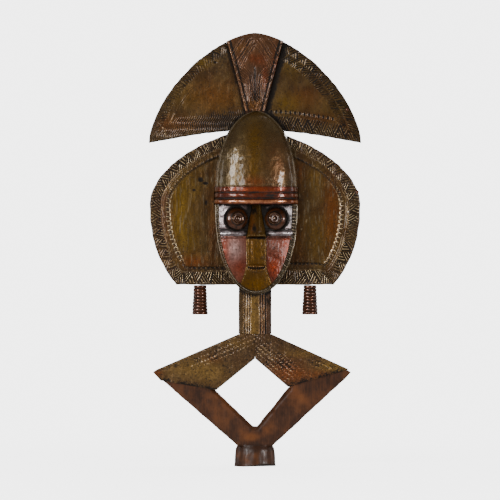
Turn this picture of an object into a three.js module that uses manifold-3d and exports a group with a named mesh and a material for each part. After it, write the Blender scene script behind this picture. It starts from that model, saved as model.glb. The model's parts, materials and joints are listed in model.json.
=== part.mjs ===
// A Kota guardian figure: a carved wooden core whose front is dressed in beaten brass and copper sheet.
// Units are millimetres. +Z is up, the figure looks along -Y, and left and right are the viewer's.
// The origin is on the ground, under the middle of the foot.
import * as THREE from 'three';
import { mergeVertices } from 'three/addons/utils/BufferGeometryUtils.js';
import Module from 'manifold-3d';

const wasm = await Module();
wasm.setup();

// Metal skins and clearances
const sheetThickness = 1.2;
const clearance = 0.3;
const foldDepth = 7;

// Foot and lozenge
const footHeight = 27;
const footWidth = 58;
const footDepth = 46;
const waistWidth = 50;
const wearSlopeRight = 0.12;
const wearSlopeForward = 0.24;
const wearStartLeft = 19.3;
const wearStartFront = 20.7;
const lozengeHeight = 158;
const lozengeThickness = 35;
const tipHeight = 105;
const leftTipReach = 142.5;
const rightTipReach = 137;
const tipUpperRun = 5.4;
const tipUpperRise = 3.6;
const tipLowerRun = 10.8;
const tipLowerDrop = 11.7;
const openingTop = 124;
const openingBottom = 30.5;
const openingLeft = 54;
const openingLeftHeight = 80;
const openingRight = 46;
const openingRightHeight = 84.5;
const openingFlat = 4;
const openingChamfer = 5;
const edgeChamfer = 1.6;
const leftSheetDrop = 13;
const rightSheetDrop = -4;

// Neck
const neckWidth = 46;
const neckLength = 55.5;
const neckRidgeStart = 6;
const neckRidgeSpacing = 3.4;
const neckRidgeWidth = 2;
const neckRidgeHeight = 0.9;
const neckRidgeCount = 3;

// Head
const headOffset = 1.8;
const headHalfWidth = 57.4;
const faceHeight = 125.5;
const browHeight = 25;
const foreheadHeight = 106;
const foreheadDepth = 42;
const rimDepth = 18;
const rimWidth = 5;
const rimRise = 0.8;
const rimFold = 0.8;
const chinAdvance = 8;
const faceHollow = 14;

// Face sheets
const plateDrop = 44;
const plateRollRise = 2.2;
const plateRollHeight = 8;
const noseTopWidth = 12.6;
const noseBaseWidth = 27.8;
const noseProjection = 14;
const noseTopProjection = 6;
const noseUndercut = 1.6;
const stripFlare = 8;
const stripFlareDrop = 83;
const stripFlareLength = 27;
const mouthDrop = 87;
const mouthWidth = 27;
const mouthHeight = 11;
const mouthRelief = 2.4;
const eyeSpacing = 55.4;
const eyeDrop = 20;
const eyeRadius = 16;
const eyeDepth = 9;
const eyeRingRadius = 7.6;
const eyeRingWidth = 1.6;
const eyeRingHeight = 1.4;
const nailRadius = 3;
const nailHeight = 1.8;
const nailShoulderRadius = 2.1;
const nailShoulderHeight = 1.4;

// Crest and wing boards
const boardThickness = 11;
const boardFront = 3.5;
const backRibHalfWidth = 24;
const backRibHalfHeight = 125;
const backRibDepth = 9;
const crestHalfWidth = 149;
const crestHeight = 154.5;
const crestSpring = 61;
const crestDrop = 16.8;
const wingHalfWidth = 147.7;
const wingRise = 106.4;
const wingFall = 176.4;
const wingBottomDrop = 112.5;
const stripTopHalfWidth = 40;
const stripBottomHalfWidth = 14;
const stripRelief = 5;

// Where the boards' outlines meet the head's, as shares of the head's half width
const hiddenShare = 0.6;
const crestRootShare = 0.66;
const wingBorderShare = 0.75;

// Beaten ornament
const borderMargin = 3;
const borderWidth = 13;
const wingBeadInset = 26;
const crestBeadInset = 21;
const crestFootBand = 25;
const beadSpacing = 7.8;
const beadRadius = 2.3;
const beadHeight = 1.1;
const ridgeWidth = 2.4;
const ridgeHeight = 0.9;
const zigzagStep = 18;
const cornerGap = 2;
const shoulderRowSpacing = 7;
const shoulderRowsLeft = 2;
const shoulderRowsRight = 3;
const shoulderRowShareLeft = 0.45;
const shoulderRowShareRight = 0.95;

// Heights of the brow band's rolls and grooves, from its lower edge up, as share of its height and rise
const browProfile = [
  [0, 0.6], [0.08, 3], [0.22, 3], [0.3, 0.6], [0.36, 0.6], [0.42, 1.7], [0.58, 1.7], [0.66, 0.6], [0.72, 1.8], [1, 1.4],
];

// The centre strip's chased lines, each from share to share of its half width and its height
const stripMiddleLine = [[0, 0.3], [0, 0.74]];
const stripSideLines = [
  [[0.97, 0.02], [0.99, 0.86]],
  [[0.06, 0.93], [0.75, 0.62]],
  [[0.35, 0.93], [0.78, 0.72]],
  [[0.8, 0.55], [0.5, 0.46], [0.4, 0.3]],
  [[0.6, 0.28], [0.1, 0.04]],
];

// Ear pendants
const pendantReach = 77;
const pendantLength = 41;
const pendantTopRadius = 9.2;
const pendantBottomRadius = 11.4;
const pendantRings = 9;
const pendantRingDepth = 1;

// How square or pointed the superellipse outlines are: 2 is an ellipse
const crestRoundness = 1.6;
const wingFlankRoundness = 1.5;
const wingTopRoundness = 1.9;
const wingFootRoundness = 2.3;
const jawRoundness = 2.4;
const browRoundness = 2.6;
const neckRoundness = 2.6;
const crestFootCurve = 1.3;
const stripFlareCurve = 1.5;
const eyeDomeFullness = 0.95;

// How many straight pieces stand for each curve, and how many rows for each sheet
const crestSteps = 20;
const wingSteps = 26;
const borderSteps = 32;
const lineSteps = 12;
const crestFootSteps = 6;
const stripSteps = 8;
const domeSteps = 16;
const jawSteps = 24;
const rimSteps = 22;
const roundSteps = 28;
const swellSteps = 5;
const ribSteps = 16;
const sheetColumns = 18;
const foreheadRows = 8;
const coarseColumns = 14;
const coarseRows = 6;
const jawColumns = 10;
const jawRows = 9;
const plateColumns = 4;
const plateRows = 2;
const rollRows = 4;
const cheekRows = 7;
const cheekRowCurve = 1.3;
const chinRows = 4;
const mouthRows = 4;
const noseRows = 3;
const centreColumns = 8;
const neckSideSteps = 4;
const discSteps = 14;
const discDomeSteps = 4;
const pendantSteps = 10;
const beadSides = 4;

// Levels, from the ground up, and depths of the board's layers
const skin = sheetThickness + clearance;
const lozengeTopZ = footHeight + lozengeHeight;
const tipZ = footHeight + tipHeight;
const chinZ = lozengeTopZ + neckLength;
const browBottomZ = chinZ + faceHeight;
const browTopZ = browBottomZ + browHeight;
const foreheadTopZ = browTopZ + foreheadHeight;
const crestSpringZ = browTopZ + crestSpring;
const wingBottomZ = browBottomZ - wingBottomDrop;
const plateBottomZ = browBottomZ - plateDrop;
const boardBack = boardFront + boardThickness;
const sheetBack = boardFront - clearance;
const sheetFront = sheetBack - sheetThickness;
const lozengeFront = -lozengeThickness / 2;
const hiddenHalfWidth = headHalfWidth * hiddenShare;
const crestRootHalfWidth = headHalfWidth * crestRootShare;
const wingBorderStart = headHalfWidth * wingBorderShare;
const browProfileRise = Math.max(...browProfile.map(([, rise]) => rise));
const beyond = crestHalfWidth + wingHalfWidth;

const wood = new THREE.MeshStandardMaterial({ color: 0x5a2f1a, roughness: 0.55, metalness: 0 });
const brass = new THREE.MeshStandardMaterial({ color: 0x8a6a2c, roughness: 0.45, metalness: 1 });
const copper = new THREE.MeshStandardMaterial({ color: 0x9a4a2c, roughness: 0.35, metalness: 1 });
const darkCopper = new THREE.MeshStandardMaterial({ color: 0x5c382a, roughness: 0.45, metalness: 1 });
const greyMetal = new THREE.MeshStandardMaterial({ color: 0x8f8284, roughness: 0.35, metalness: 1 });

const point2 = (x, z) => new THREE.Vector2(x, z);
const point3 = (x, y, z) => new THREE.Vector3(x, y, z);
const mirrored = (points) => points.map((point) => point2(-point.x, point.y));
const facing = (side, points) => (side > 0 ? points : mirrored(points));
const powered = (value, power) => Math.sign(value) * Math.abs(value) ** power;
const joined = (solids) => solids.reduce((sum, solid) => sum.add(solid));
const { lerp, clamp } = THREE.MathUtils;

// Solids

function toSolid(geometry) {
  const bare = geometry.clone();
  bare.deleteAttribute('normal');
  bare.deleteAttribute('uv');
  const merged = mergeVertices(bare, 1e-4);
  const index = merged.index.array;
  const triangles = [];
  for (let i = 0; i < index.length; i += 3) {
    const [a, b, c] = [index[i], index[i + 1], index[i + 2]];
    if (a !== b && b !== c && c !== a) triangles.push(a, b, c);
  }
  return new wasm.Manifold(new wasm.Mesh({
    numProp: 3,
    vertProperties: Float32Array.from(merged.attributes.position.array),
    triVerts: Uint32Array.from(triangles),
  }));
}

function toGeometry(solid) {
  const mesh = solid.getMesh();
  const geometry = new THREE.BufferGeometry();
  geometry.setAttribute('position', new THREE.BufferAttribute(Float32Array.from(mesh.vertProperties), 3));
  geometry.setIndex(new THREE.BufferAttribute(Uint32Array.from(mesh.triVerts), 1));
  geometry.computeVertexNormals();
  return geometry;
}

function indexed(positions, index) {
  const geometry = new THREE.BufferGeometry();
  geometry.setAttribute('position', new THREE.BufferAttribute(Float32Array.from(positions), 3));
  geometry.setIndex(index);
  return geometry;
}

// An upright slab whose outline is a list of (x, z) points, from the depth front back to the depth back
function slab(outline, front, back, chamfer = 0) {
  const geometry = new THREE.ExtrudeGeometry(new THREE.Shape(outline), {
    depth: back - front - 2 * chamfer,
    bevelEnabled: chamfer > 0,
    bevelThickness: chamfer,
    bevelSize: chamfer,
    bevelOffset: -chamfer,
    bevelSegments: 1,
  });
  geometry.rotateX(Math.PI / 2);
  geometry.translate(0, back - chamfer, 0);
  return toSolid(geometry);
}

// A closed solid between an outer and an inner surface; both take u to the right and v upwards, 0 to 1
function plate(columns, rows, outer, inner) {
  const positions = [];
  for (const surface of [outer, inner]) {
    for (let j = 0; j <= rows; j += 1) {
      for (let i = 0; i <= columns; i += 1) positions.push(...surface(i / columns, j / rows).toArray());
    }
  }
  const index = [];
  const layer = (columns + 1) * (rows + 1);
  const front = (i, j) => j * (columns + 1) + i;
  const back = (i, j) => layer + front(i, j);
  const quad = (a, b, c, d) => index.push(a, b, c, a, c, d);
  for (let j = 0; j < rows; j += 1) {
    for (let i = 0; i < columns; i += 1) {
      quad(front(i, j), front(i + 1, j), front(i + 1, j + 1), front(i, j + 1));
      quad(back(i, j), back(i, j + 1), back(i + 1, j + 1), back(i + 1, j));
    }
    quad(front(0, j + 1), back(0, j + 1), back(0, j), front(0, j));
    quad(front(columns, j), back(columns, j), back(columns, j + 1), front(columns, j + 1));
  }
  for (let i = 0; i < columns; i += 1) {
    quad(front(i, 0), back(i, 0), back(i + 1, 0), front(i + 1, 0));
    quad(front(i + 1, rows), back(i + 1, rows), back(i, rows), front(i, rows));
  }
  return toSolid(indexed(positions, index));
}

// A closed solid from a surface straight back to the depth back
function block(columns, rows, surface, back) {
  return plate(columns, rows, surface, (u, v) => surface(u, v).setY(back));
}

// A corner sharper than this is moved no further than a corner of this sharpness is
const sharpestCorner = 0.35;
const sharpestBend = 0.5;

// The outline moved outwards by a distance, or inwards where the distance is negative
function offsetOutline(points, distance) {
  const turn = THREE.ShapeUtils.area(points) > 0 ? 1 : -1;
  return points.map((point, i) => {
    const before = points[(i + points.length - 1) % points.length];
    const after = points[(i + 1) % points.length];
    const first = point.clone().sub(before).normalize();
    const second = after.clone().sub(point).normalize();
    const bisector = point2(first.y + second.y, -first.x - second.x).normalize();
    const stretch = Math.max(bisector.dot(point2(first.y, -first.x)), sharpestCorner);
    return point.clone().addScaledVector(bisector, (turn * distance) / stretch);
  });
}

// A sheet laid on a board's front and folded back round its edge
function tray(outline, front) {
  const inside = offsetOutline(outline, -sheetThickness);
  return slab(outline, front, front + foldDepth).subtract(slab(inside, front + sheetThickness, boardBack));
}

// Raised ornament, drawn on the upright plane at the depth base

function walk(points, spacing) {
  const path = new THREE.CurvePath();
  for (let i = 1; i < points.length; i += 1) path.add(new THREE.LineCurve(points[i - 1], points[i]));
  return path.getSpacedPoints(Math.max(Math.round(path.getLength() / spacing), 1));
}

function ridge(points, base) {
  const positions = [];
  points.forEach((point, i) => {
    const before = points[Math.max(i - 1, 0)];
    const after = points[Math.min(i + 1, points.length - 1)];
    const first = (i > 0 ? point.clone().sub(before) : after.clone().sub(point)).normalize();
    const second = i < points.length - 1 ? after.clone().sub(point).normalize() : first;
    const side = point2(first.y + second.y, -first.x - second.x).normalize();
    side.multiplyScalar(ridgeWidth / 2 / Math.max(side.dot(point2(first.y, -first.x)), sharpestBend));
    positions.push(point.x + side.x, base + clearance, point.y + side.y);
    positions.push(point.x, base - ridgeHeight, point.y);
    positions.push(point.x - side.x, base + clearance, point.y - side.y);
  });
  const index = [];
  const last = 3 * (points.length - 1);
  for (let i = 0; i < last; i += 3) {
    for (const [a, b] of [[0, 1], [1, 2], [2, 0]]) {
      index.push(i + a, i + 3 + a, i + 3 + b, i + a, i + 3 + b, i + b);
    }
  }
  index.push(0, 1, 2, last, last + 2, last + 1);
  return toSolid(indexed(positions, index));
}

function beadRow(path, base) {
  const beads = walk(path, beadSpacing).map((point) => {
    const bead = new THREE.ConeGeometry(beadRadius, beadHeight + clearance, beadSides);
    bead.rotateX(Math.PI);
    bead.translate(point.x, base + (clearance - beadHeight) / 2, point.y);
    return toSolid(bead);
  });
  return joined(beads);
}

// A zigzag line between two paths that run side by side, with its inner corners halfway between the outer ones
function zigzag(outerPath, innerPath, base) {
  const outer = walk(outerPath, zigzagStep);
  const inner = walk(innerPath, ridgeWidth / 2);
  const points = outer.flatMap((point, i) => {
    const share = clamp((i + 1 / 2) / (outer.length - 1), 0, 1);
    return [point, inner[Math.round(share * (inner.length - 1))]];
  });
  return ridge(points.slice(0, -1), base);
}

// Outlines of the crest

const crestTopAt = (x) => {
  const share = Math.abs(x / crestHalfWidth) ** crestRoundness;
  return crestSpringZ + crestHeight * (1 - share) ** (1 / crestRoundness);
};

const crestFootAt = (x) => {
  const share = Math.max((x - crestRootHalfWidth) / (crestHalfWidth - crestRootHalfWidth), 0);
  return crestSpringZ + crestDrop * (1 - share ** crestFootCurve);
};

// The crest's round right edge, from the top down to the band of the given height along its foot
function crestEdge(inset, fromX, band, steps) {
  const points = [];
  for (let i = 0; i <= steps; i += 1) {
    const angle = (Math.PI / 2) * (1 - i / steps);
    const x = (crestHalfWidth - inset) * powered(Math.cos(angle), 2 / crestRoundness);
    const z = crestSpringZ + (crestHeight - inset) * powered(Math.sin(angle), 2 / crestRoundness);
    if (x > fromX && z >= crestFootAt(x) + band) points.push(point2(x, z));
  }
  return points;
}

// A line along the crest's foot, raised above it
function crestFoot(rise, fromX, toX) {
  const points = [];
  for (let i = 0; i <= crestFootSteps; i += 1) {
    const x = lerp(fromX, toX, i / crestFootSteps);
    points.push(point2(x, crestFootAt(x) + rise));
  }
  return points;
}

const crestRight = [
  ...crestEdge(0, clearance, clearance, crestSteps),
  ...crestFoot(0, crestHalfWidth, hiddenHalfWidth),
  point2(hiddenHalfWidth, browTopZ),
];
const crestOutline = [point2(0, crestSpringZ + crestHeight), ...crestRight, ...mirrored(crestRight).reverse()];

// Outlines of the wings

const wingTopAt = (x) => {
  const share = Math.abs(x / wingHalfWidth) ** wingFlankRoundness;
  return browBottomZ + wingRise * (1 - share) ** (1 / wingTopRoundness);
};

const wingCornerX = (inset, floor) => {
  const share = ((browBottomZ - floor) / (wingFall - inset)) ** wingFootRoundness;
  return (wingHalfWidth - inset) * (1 - share) ** (1 / wingFlankRoundness);
};

// The wings' round right edge, from beside the forehead down to the floor, where it ends in a corner
function wingEdge(inset, fromX, floor, steps) {
  const points = [];
  for (let i = 0; i <= steps; i += 1) {
    const angle = Math.PI * (1 / 2 - i / steps);
    const reach = (angle > 0 ? wingRise : wingFall) - inset;
    const zPower = 2 / (angle > 0 ? wingTopRoundness : wingFootRoundness);
    const x = (wingHalfWidth - inset) * powered(Math.cos(angle), 2 / wingFlankRoundness);
    const z = browBottomZ + reach * powered(Math.sin(angle), zPower);
    if (x > fromX && z > floor + cornerGap) points.push(point2(x, z));
  }
  return [...points, point2(wingCornerX(inset, floor), floor)];
}

const wingRight = [
  point2(hiddenHalfWidth, wingTopAt(hiddenHalfWidth)),
  ...wingEdge(0, hiddenHalfWidth + foldDepth, wingBottomZ, wingSteps),
];
const wingOutline = [...wingRight, ...mirrored(wingRight).reverse()];

// Outlines and surfaces of the head

const jawHalfWidth = (z, inset) => {
  const share = clamp((browBottomZ - z) / (faceHeight - inset), 0, 1) ** jawRoundness;
  return (headHalfWidth - inset) * Math.sqrt(1 - share);
};

const jawBottomAt = (x) => {
  const share = ((x - headOffset) / headHalfWidth) ** 2;
  return browBottomZ - faceHeight * (1 - share) ** (1 / jawRoundness);
};

// A point of the jaw's outline, from the left temple round the chin to the right temple
function jawPoint(u, inset) {
  const angle = Math.PI * (1 - u);
  const drop = (faceHeight - inset) * powered(Math.sin(angle), 2 / jawRoundness);
  return point2(headOffset + (headHalfWidth - inset) * Math.cos(angle), browBottomZ - drop);
}

// A point of the forehead, from left to right and from the brow up; grow moves it outwards
function foreheadPoint(u, v, grow) {
  const angle = Math.PI * (1 - u);
  const lift = (Math.PI / 2) * v;
  const across = (headHalfWidth + grow) * powered(Math.cos(angle), 2 / browRoundness);
  const forward = (foreheadDepth + grow) * powered(Math.sin(angle), 2 / browRoundness);
  return point3(
    headOffset + across * Math.cos(lift),
    sheetBack - forward * Math.cos(lift),
    browTopZ + (foreheadHeight + grow) * Math.sin(lift),
  );
}

// A point of the band over the brow, at height z
function browPoint(u, z, grow) {
  return foreheadPoint(u, 0, grow).setZ(z);
}

// The metal surface of the hollow face
function faceSurface(x, z) {
  const down = clamp((browBottomZ - z) / faceHeight, 0, 1);
  const across = (x - headOffset) / headHalfWidth;
  return -rimDepth - chinAdvance * down + faceHollow * (1 - across ** 2 - down ** jawRoundness);
}

const headFootprint = (() => {
  const outline = [];
  for (let i = 0; i <= domeSteps; i += 1) {
    const angle = (Math.PI * i) / domeSteps;
    const x = headOffset + (headHalfWidth + clearance) * Math.cos(angle);
    outline.push(point2(x, browTopZ + (foreheadHeight + clearance) * Math.sin(angle)));
  }
  for (let i = 0; i <= jawSteps; i += 1) outline.push(jawPoint(i / jawSteps, -clearance));
  return outline;
})();

// The centre strip of the crest stands on its own rib of the board
const stripOutline = (() => {
  const top = [];
  for (let i = 0; i <= stripSteps; i += 1) {
    const x = lerp(stripTopHalfWidth, -stripTopHalfWidth, i / stripSteps);
    top.push(point2(x, crestTopAt(x)));
  }
  const bottomZ = foreheadTopZ + clearance;
  return [...top, point2(-stripBottomHalfWidth, bottomZ), point2(stripBottomHalfWidth, bottomZ)];
})();

// Outlines of the lozenge

const lozengeSide = (side, reach) => [
  point2((side * neckWidth) / 2, lozengeTopZ),
  point2(side * (reach - tipUpperRun), tipZ + tipUpperRise),
  point2(side * reach, tipZ),
  point2(side * (reach - tipLowerRun), tipZ - tipLowerDrop),
  point2((side * waistWidth) / 2, footHeight),
];
const lozengeLeft = lozengeSide(-1, leftTipReach);
const lozengeRight = lozengeSide(1, rightTipReach);
const lozengeOutline = [...lozengeLeft, ...lozengeRight.toReversed()];
const openingOutline = [
  point2(0, footHeight + openingTop),
  point2(-openingLeft, footHeight + openingLeftHeight),
  point2(-openingFlat / 2, footHeight + openingBottom),
  point2(openingFlat / 2, footHeight + openingBottom),
  point2(openingRight, footHeight + openingRightHeight),
];

// The carved core

function lozengeCore() {
  const outline = offsetOutline(lozengeOutline, -skin);
  const hole = offsetOutline(openingOutline, skin);
  const limbs = slab(outline, lozengeFront + skin, -lozengeFront, edgeChamfer);
  const through = slab(hole, lozengeFront - skin, skin - lozengeFront);
  const flareOutline = offsetOutline(hole, openingChamfer);
  const flareFront = lozengeFront - 2 * openingChamfer;
  const flare = slab(flareOutline, flareFront, lozengeFront + skin + openingChamfer, openingChamfer);
  const [leftZ, rightZ] = [footHeight + openingLeftHeight, footHeight + openingRightHeight];
  const bareSide = slab([
    point2(-beyond, 0), point2(beyond, 0), point2(beyond, rightZ), point2(-beyond, leftZ),
  ], lozengeFront - beyond, 0);
  return limbs.subtract(through).subtract(flare.intersect(bareSide));
}

function footCore() {
  const profile = [point2(0, 0)];
  const top = footHeight + 2 * skin;
  for (let i = 0; i <= swellSteps; i += 1) {
    const swell = Math.sqrt(1 - (i / swellSteps) ** 2);
    profile.push(point2(lerp(waistWidth, footWidth, swell) / 2, (top * i) / swellSteps));
  }
  profile.push(point2(0, top));
  const stump = new THREE.LatheGeometry(profile, roundSteps);
  stump.rotateX(Math.PI / 2);
  stump.scale(1, footDepth / footWidth, 1);
  const worn = new THREE.BoxGeometry(2 * footWidth, 2 * footWidth, footWidth);
  const slope = point3(-wearSlopeRight, wearSlopeForward, 1).normalize();
  worn.translate(0, 0, -footWidth / 2);
  worn.applyQuaternion(new THREE.Quaternion().setFromUnitVectors(point3(0, 0, 1), slope));
  worn.translate(-wearStartLeft, -wearStartFront, 0);
  return toSolid(stump).subtract(toSolid(worn));
}

// The neck's section, rounded in front and behind
function neckPlan(halfWidth, frontDepth, backDepth) {
  const outline = [];
  for (let i = 0; i < roundSteps; i += 1) {
    const angle = (2 * Math.PI * i) / roundSteps;
    const depth = Math.sin(angle) > 0 ? backDepth : frontDepth;
    const across = halfWidth * powered(Math.cos(angle), 2 / neckRoundness);
    outline.push(point2(across, depth * powered(Math.sin(angle), 2 / neckRoundness)));
  }
  return outline;
}

// The neck's column, which runs on down into the lozenge and up behind the chin
function neckColumn(grow) {
  const depth = lozengeThickness / 2;
  const outline = neckPlan(neckWidth / 2 + grow, depth + grow, depth);
  const bottom = lozengeTopZ - neckWidth / 2;
  const geometry = new THREE.ExtrudeGeometry(new THREE.Shape(outline), {
    depth: chinZ + neckWidth / 2 - bottom,
    bevelEnabled: false,
  });
  geometry.translate(0, 0, bottom);
  return toSolid(geometry);
}

function headCore() {
  const middle = boardFront + boardThickness / 2;
  const dome = (u, v) => foreheadPoint(u, v, -skin);
  const brow = (u, v) => browPoint(u, lerp(browBottomZ, browTopZ, v), -skin);
  const jaw = (u, v) => {
    const angle = (Math.PI / 2) * (1 - v);
    const z = browBottomZ - (faceHeight - skin) * powered(Math.sin(angle), 2 / jawRoundness);
    const x = headOffset + (headHalfWidth - skin) * Math.cos(angle) * lerp(-1, 1, u);
    return point3(x, faceSurface(x, z) + skin, z);
  };
  return joined([
    block(coarseColumns, coarseRows, dome, middle),
    block(coarseColumns, 1, brow, middle),
    block(jawColumns, jawRows, jaw, middle),
  ]);
}

function boardsCore() {
  const backRib = new THREE.SphereGeometry(1, ribSteps, ribSteps);
  backRib.rotateX(Math.PI / 2);
  backRib.scale(backRibHalfWidth, backRibDepth, backRibHalfHeight);
  backRib.translate(0, boardBack - clearance, chinZ + backRibHalfHeight);
  return joined([
    slab(offsetOutline(crestOutline, -skin), boardFront, boardBack),
    slab(offsetOutline(wingOutline, -skin), boardFront, boardBack),
    slab(offsetOutline(stripOutline, -skin), boardFront - stripRelief, boardBack),
    toSolid(backRib),
  ]);
}

// Sheets of the crest and wings

// The space that one side's sheets may fill: off the head, the brow band and the centre strip
function sideClip(side) {
  const start = (side * stripBottomHalfWidth) / 2;
  const half = [
    point2(start, 0), point2(side * beyond, 0), point2(side * beyond, 3 * beyond), point2(start, 3 * beyond),
  ];
  const browHalf = headHalfWidth + browProfileRise + clearance;
  const band = [
    point2(headOffset - browHalf, browBottomZ - clearance),
    point2(headOffset + browHalf, browBottomZ - clearance),
    point2(headOffset + browHalf, browTopZ + clearance),
    point2(headOffset - browHalf, browTopZ + clearance),
  ];
  return slab(half, -beyond, beyond)
    .subtract(slab(headFootprint, -beyond, beyond))
    .subtract(slab(band, -beyond, beyond))
    .subtract(slab(offsetOutline(stripOutline, clearance), -beyond, beyond));
}

// A board's sheet on one side, with its raised ornament
function dressedSheet(outline, ornament, side) {
  const inside = slab(offsetOutline(outline, -borderMargin / 2), -beyond, beyond);
  return tray(outline, sheetFront).add(ornament.intersect(inside)).intersect(sideClip(side));
}

function crestSheet(side) {
  const inner = borderMargin + borderWidth;
  const lineStart = stripTopHalfWidth + borderMargin;
  const beadStart = crestHalfWidth - borderWidth;
  const beadEnd = stripBottomHalfWidth + 2 * borderMargin;
  const ornament = joined([
    zigzag(
      facing(side, crestEdge(borderMargin, stripTopHalfWidth, inner, crestSteps)),
      facing(side, crestEdge(inner, stripTopHalfWidth, inner, crestSteps)),
      sheetFront,
    ),
    zigzag(
      facing(side, crestFoot(borderMargin, crestHalfWidth - 2 * borderMargin, crestRootHalfWidth)),
      facing(side, crestFoot(inner, crestHalfWidth - inner, hiddenHalfWidth)),
      sheetFront,
    ),
    ridge(facing(side, crestEdge(crestBeadInset, lineStart, crestFootBand, lineSteps)), sheetFront),
    beadRow(facing(side, crestFoot(crestFootBand, beadStart, beadEnd)), sheetFront),
  ]);
  return dressedSheet(crestOutline, ornament, side);
}

function wingSheet(side) {
  const inner = borderMargin + borderWidth;
  const edgePath = (inset, fromX) => facing(side, wingEdge(inset, fromX, wingBottomZ + inset, borderSteps));
  const floorPath = (rise, inset) => facing(side, [
    point2(wingCornerX(inset, wingBottomZ + rise), wingBottomZ + rise),
    point2(hiddenHalfWidth, wingBottomZ + rise),
  ]);
  const ornament = joined([
    zigzag(edgePath(borderMargin, wingBorderStart), edgePath(inner, wingBorderStart), sheetFront),
    zigzag(floorPath(borderMargin, 2 * borderMargin), floorPath(inner, inner), sheetFront),
    beadRow(edgePath(wingBeadInset, headHalfWidth), sheetFront),
    beadRow(floorPath(wingBeadInset, wingBeadInset + beadSpacing), sheetFront),
  ]);
  return dressedSheet(wingOutline, ornament, side);
}

// The copper strip up the middle of the crest, with its chased lines
function crestCentreStrip() {
  const front = sheetFront - stripRelief;
  const inside = offsetOutline(stripOutline, -sheetThickness);
  const cover = slab(stripOutline, front, sheetBack).subtract(slab(inside, front + sheetThickness, boardBack));
  const at = ([across, up]) => {
    const half = lerp(stripBottomHalfWidth, stripTopHalfWidth, up) - ridgeWidth;
    const z = lerp(foreheadTopZ + ridgeWidth, crestSpringZ + crestHeight - 2 * ridgeWidth, up);
    return point2(across * half, z);
  };
  const sideLines = stripSideLines.map((line) => line.map(at));
  const lines = [stripMiddleLine.map(at), ...sideLines, ...sideLines.map(mirrored)];
  return cover.add(joined(lines.map((line) => ridge(line, front))));
}

// Sheets of the head

function foreheadSheet() {
  const hollow = (u, v) => foreheadPoint(u, v, -sheetThickness);
  return block(sheetColumns, foreheadRows, (u, v) => foreheadPoint(u, v, 0), sheetBack)
    .subtract(block(coarseColumns, coarseRows, hollow, boardBack));
}

function browBand() {
  const rows = browProfile.length - 1;
  const rolled = (u, v) => {
    const [share, rise] = browProfile[Math.round(v * rows)];
    return browPoint(u, lerp(browBottomZ, browTopZ - clearance, share), rise);
  };
  const hollow = (u, v) => browPoint(u, lerp(browBottomZ - skin, browTopZ + skin, v), -sheetThickness);
  return block(sheetColumns, rows, rolled, sheetBack).subtract(block(coarseColumns, 1, hollow, boardBack));
}

// The notched sheet round the face: it covers the head's side and turns in over the rim of the face
function faceRim() {
  const section = [[0, 0, true], [0, rimFold, false], [rimFold, 0, false], [rimWidth, 0, false]];
  const place = (u, v, sunk) => {
    const [inset, setBack, wall] = section[Math.round(v * (section.length - 1))];
    const point = jawPoint(u, sunk ? Math.max(inset, sheetThickness) : inset);
    const face = faceSurface(point.x, point.y) + setBack + (sunk ? sheetThickness : -rimRise);
    return point3(point.x, wall ? sheetBack : face, Math.min(point.y, browBottomZ - clearance));
  };
  const wrap = plate(rimSteps, section.length - 1, (u, v) => place(u, v, false), (u, v) => place(u, v, true));
  return wrap.subtract(neckColumn(clearance));
}

const faceEdge = (z) => jawHalfWidth(z, rimWidth + clearance);

// Half the width of the centre sheet: the nose above, and the strip below that flares to the chin
const centreHalfWidth = (z) => {
  if (z >= plateBottomZ) return lerp(noseBaseWidth, noseTopWidth, (z - plateBottomZ) / plateDrop) / 2;
  const flared = clamp((browBottomZ - stripFlareDrop - z) / stripFlareLength, 0, 2) ** stripFlareCurve;
  return Math.min(noseBaseWidth / 2 + stripFlare * flared, faceEdge(z));
};

// A piece of sheet on the face between two edges, each a function of z, at the given levels
function facePlate(columns, levels, leftEdge, rightEdge, relief) {
  const rows = levels.length - 1;
  const place = (u, v, sunk) => {
    const z = levels[Math.round(v * rows)];
    const x = headOffset + lerp(leftEdge(z), rightEdge(z), u);
    return point3(x, faceSurface(x, z) + (sunk ? sheetThickness : -relief(x - headOffset, z)), z);
  };
  return plate(columns, rows, (u, v) => place(u, v, false), (u, v) => place(u, v, true));
}

function eyePlate(side) {
  const levels = [];
  for (let i = 0; i < rollRows; i += 1) levels.push(plateBottomZ + (plateRollHeight * i) / rollRows);
  for (let i = 0; i <= plateRows; i += 1) {
    levels.push(lerp(plateBottomZ + plateRollHeight, browBottomZ - clearance, i / plateRows));
  }
  const relief = (x, z) => {
    const share = (z - plateBottomZ) / plateRollHeight;
    return share < 1 ? plateRollRise * Math.sin(Math.PI * share) : 0;
  };
  const outer = (z) => side * faceEdge(z);
  const inner = (z) => side * (centreHalfWidth(z) + clearance);
  const [left, right] = side < 0 ? [outer, inner] : [inner, outer];
  return facePlate(plateColumns, levels, left, right, relief);
}

function cheekSheet(side) {
  let bottomZ = plateBottomZ;
  while (faceEdge(bottomZ) - centreHalfWidth(bottomZ) > 2 * sheetThickness) bottomZ -= clearance;
  const levels = [];
  for (let i = 0; i <= cheekRows; i += 1) {
    levels.push(lerp(bottomZ, plateBottomZ - clearance, (i / cheekRows) ** cheekRowCurve));
  }
  const outer = (z) => side * faceEdge(z);
  const inner = (z) => side * (centreHalfWidth(z) + clearance);
  const [left, right] = side < 0 ? [outer, inner] : [inner, outer];
  return facePlate(plateColumns, levels, left, right, () => 0);
}

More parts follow.
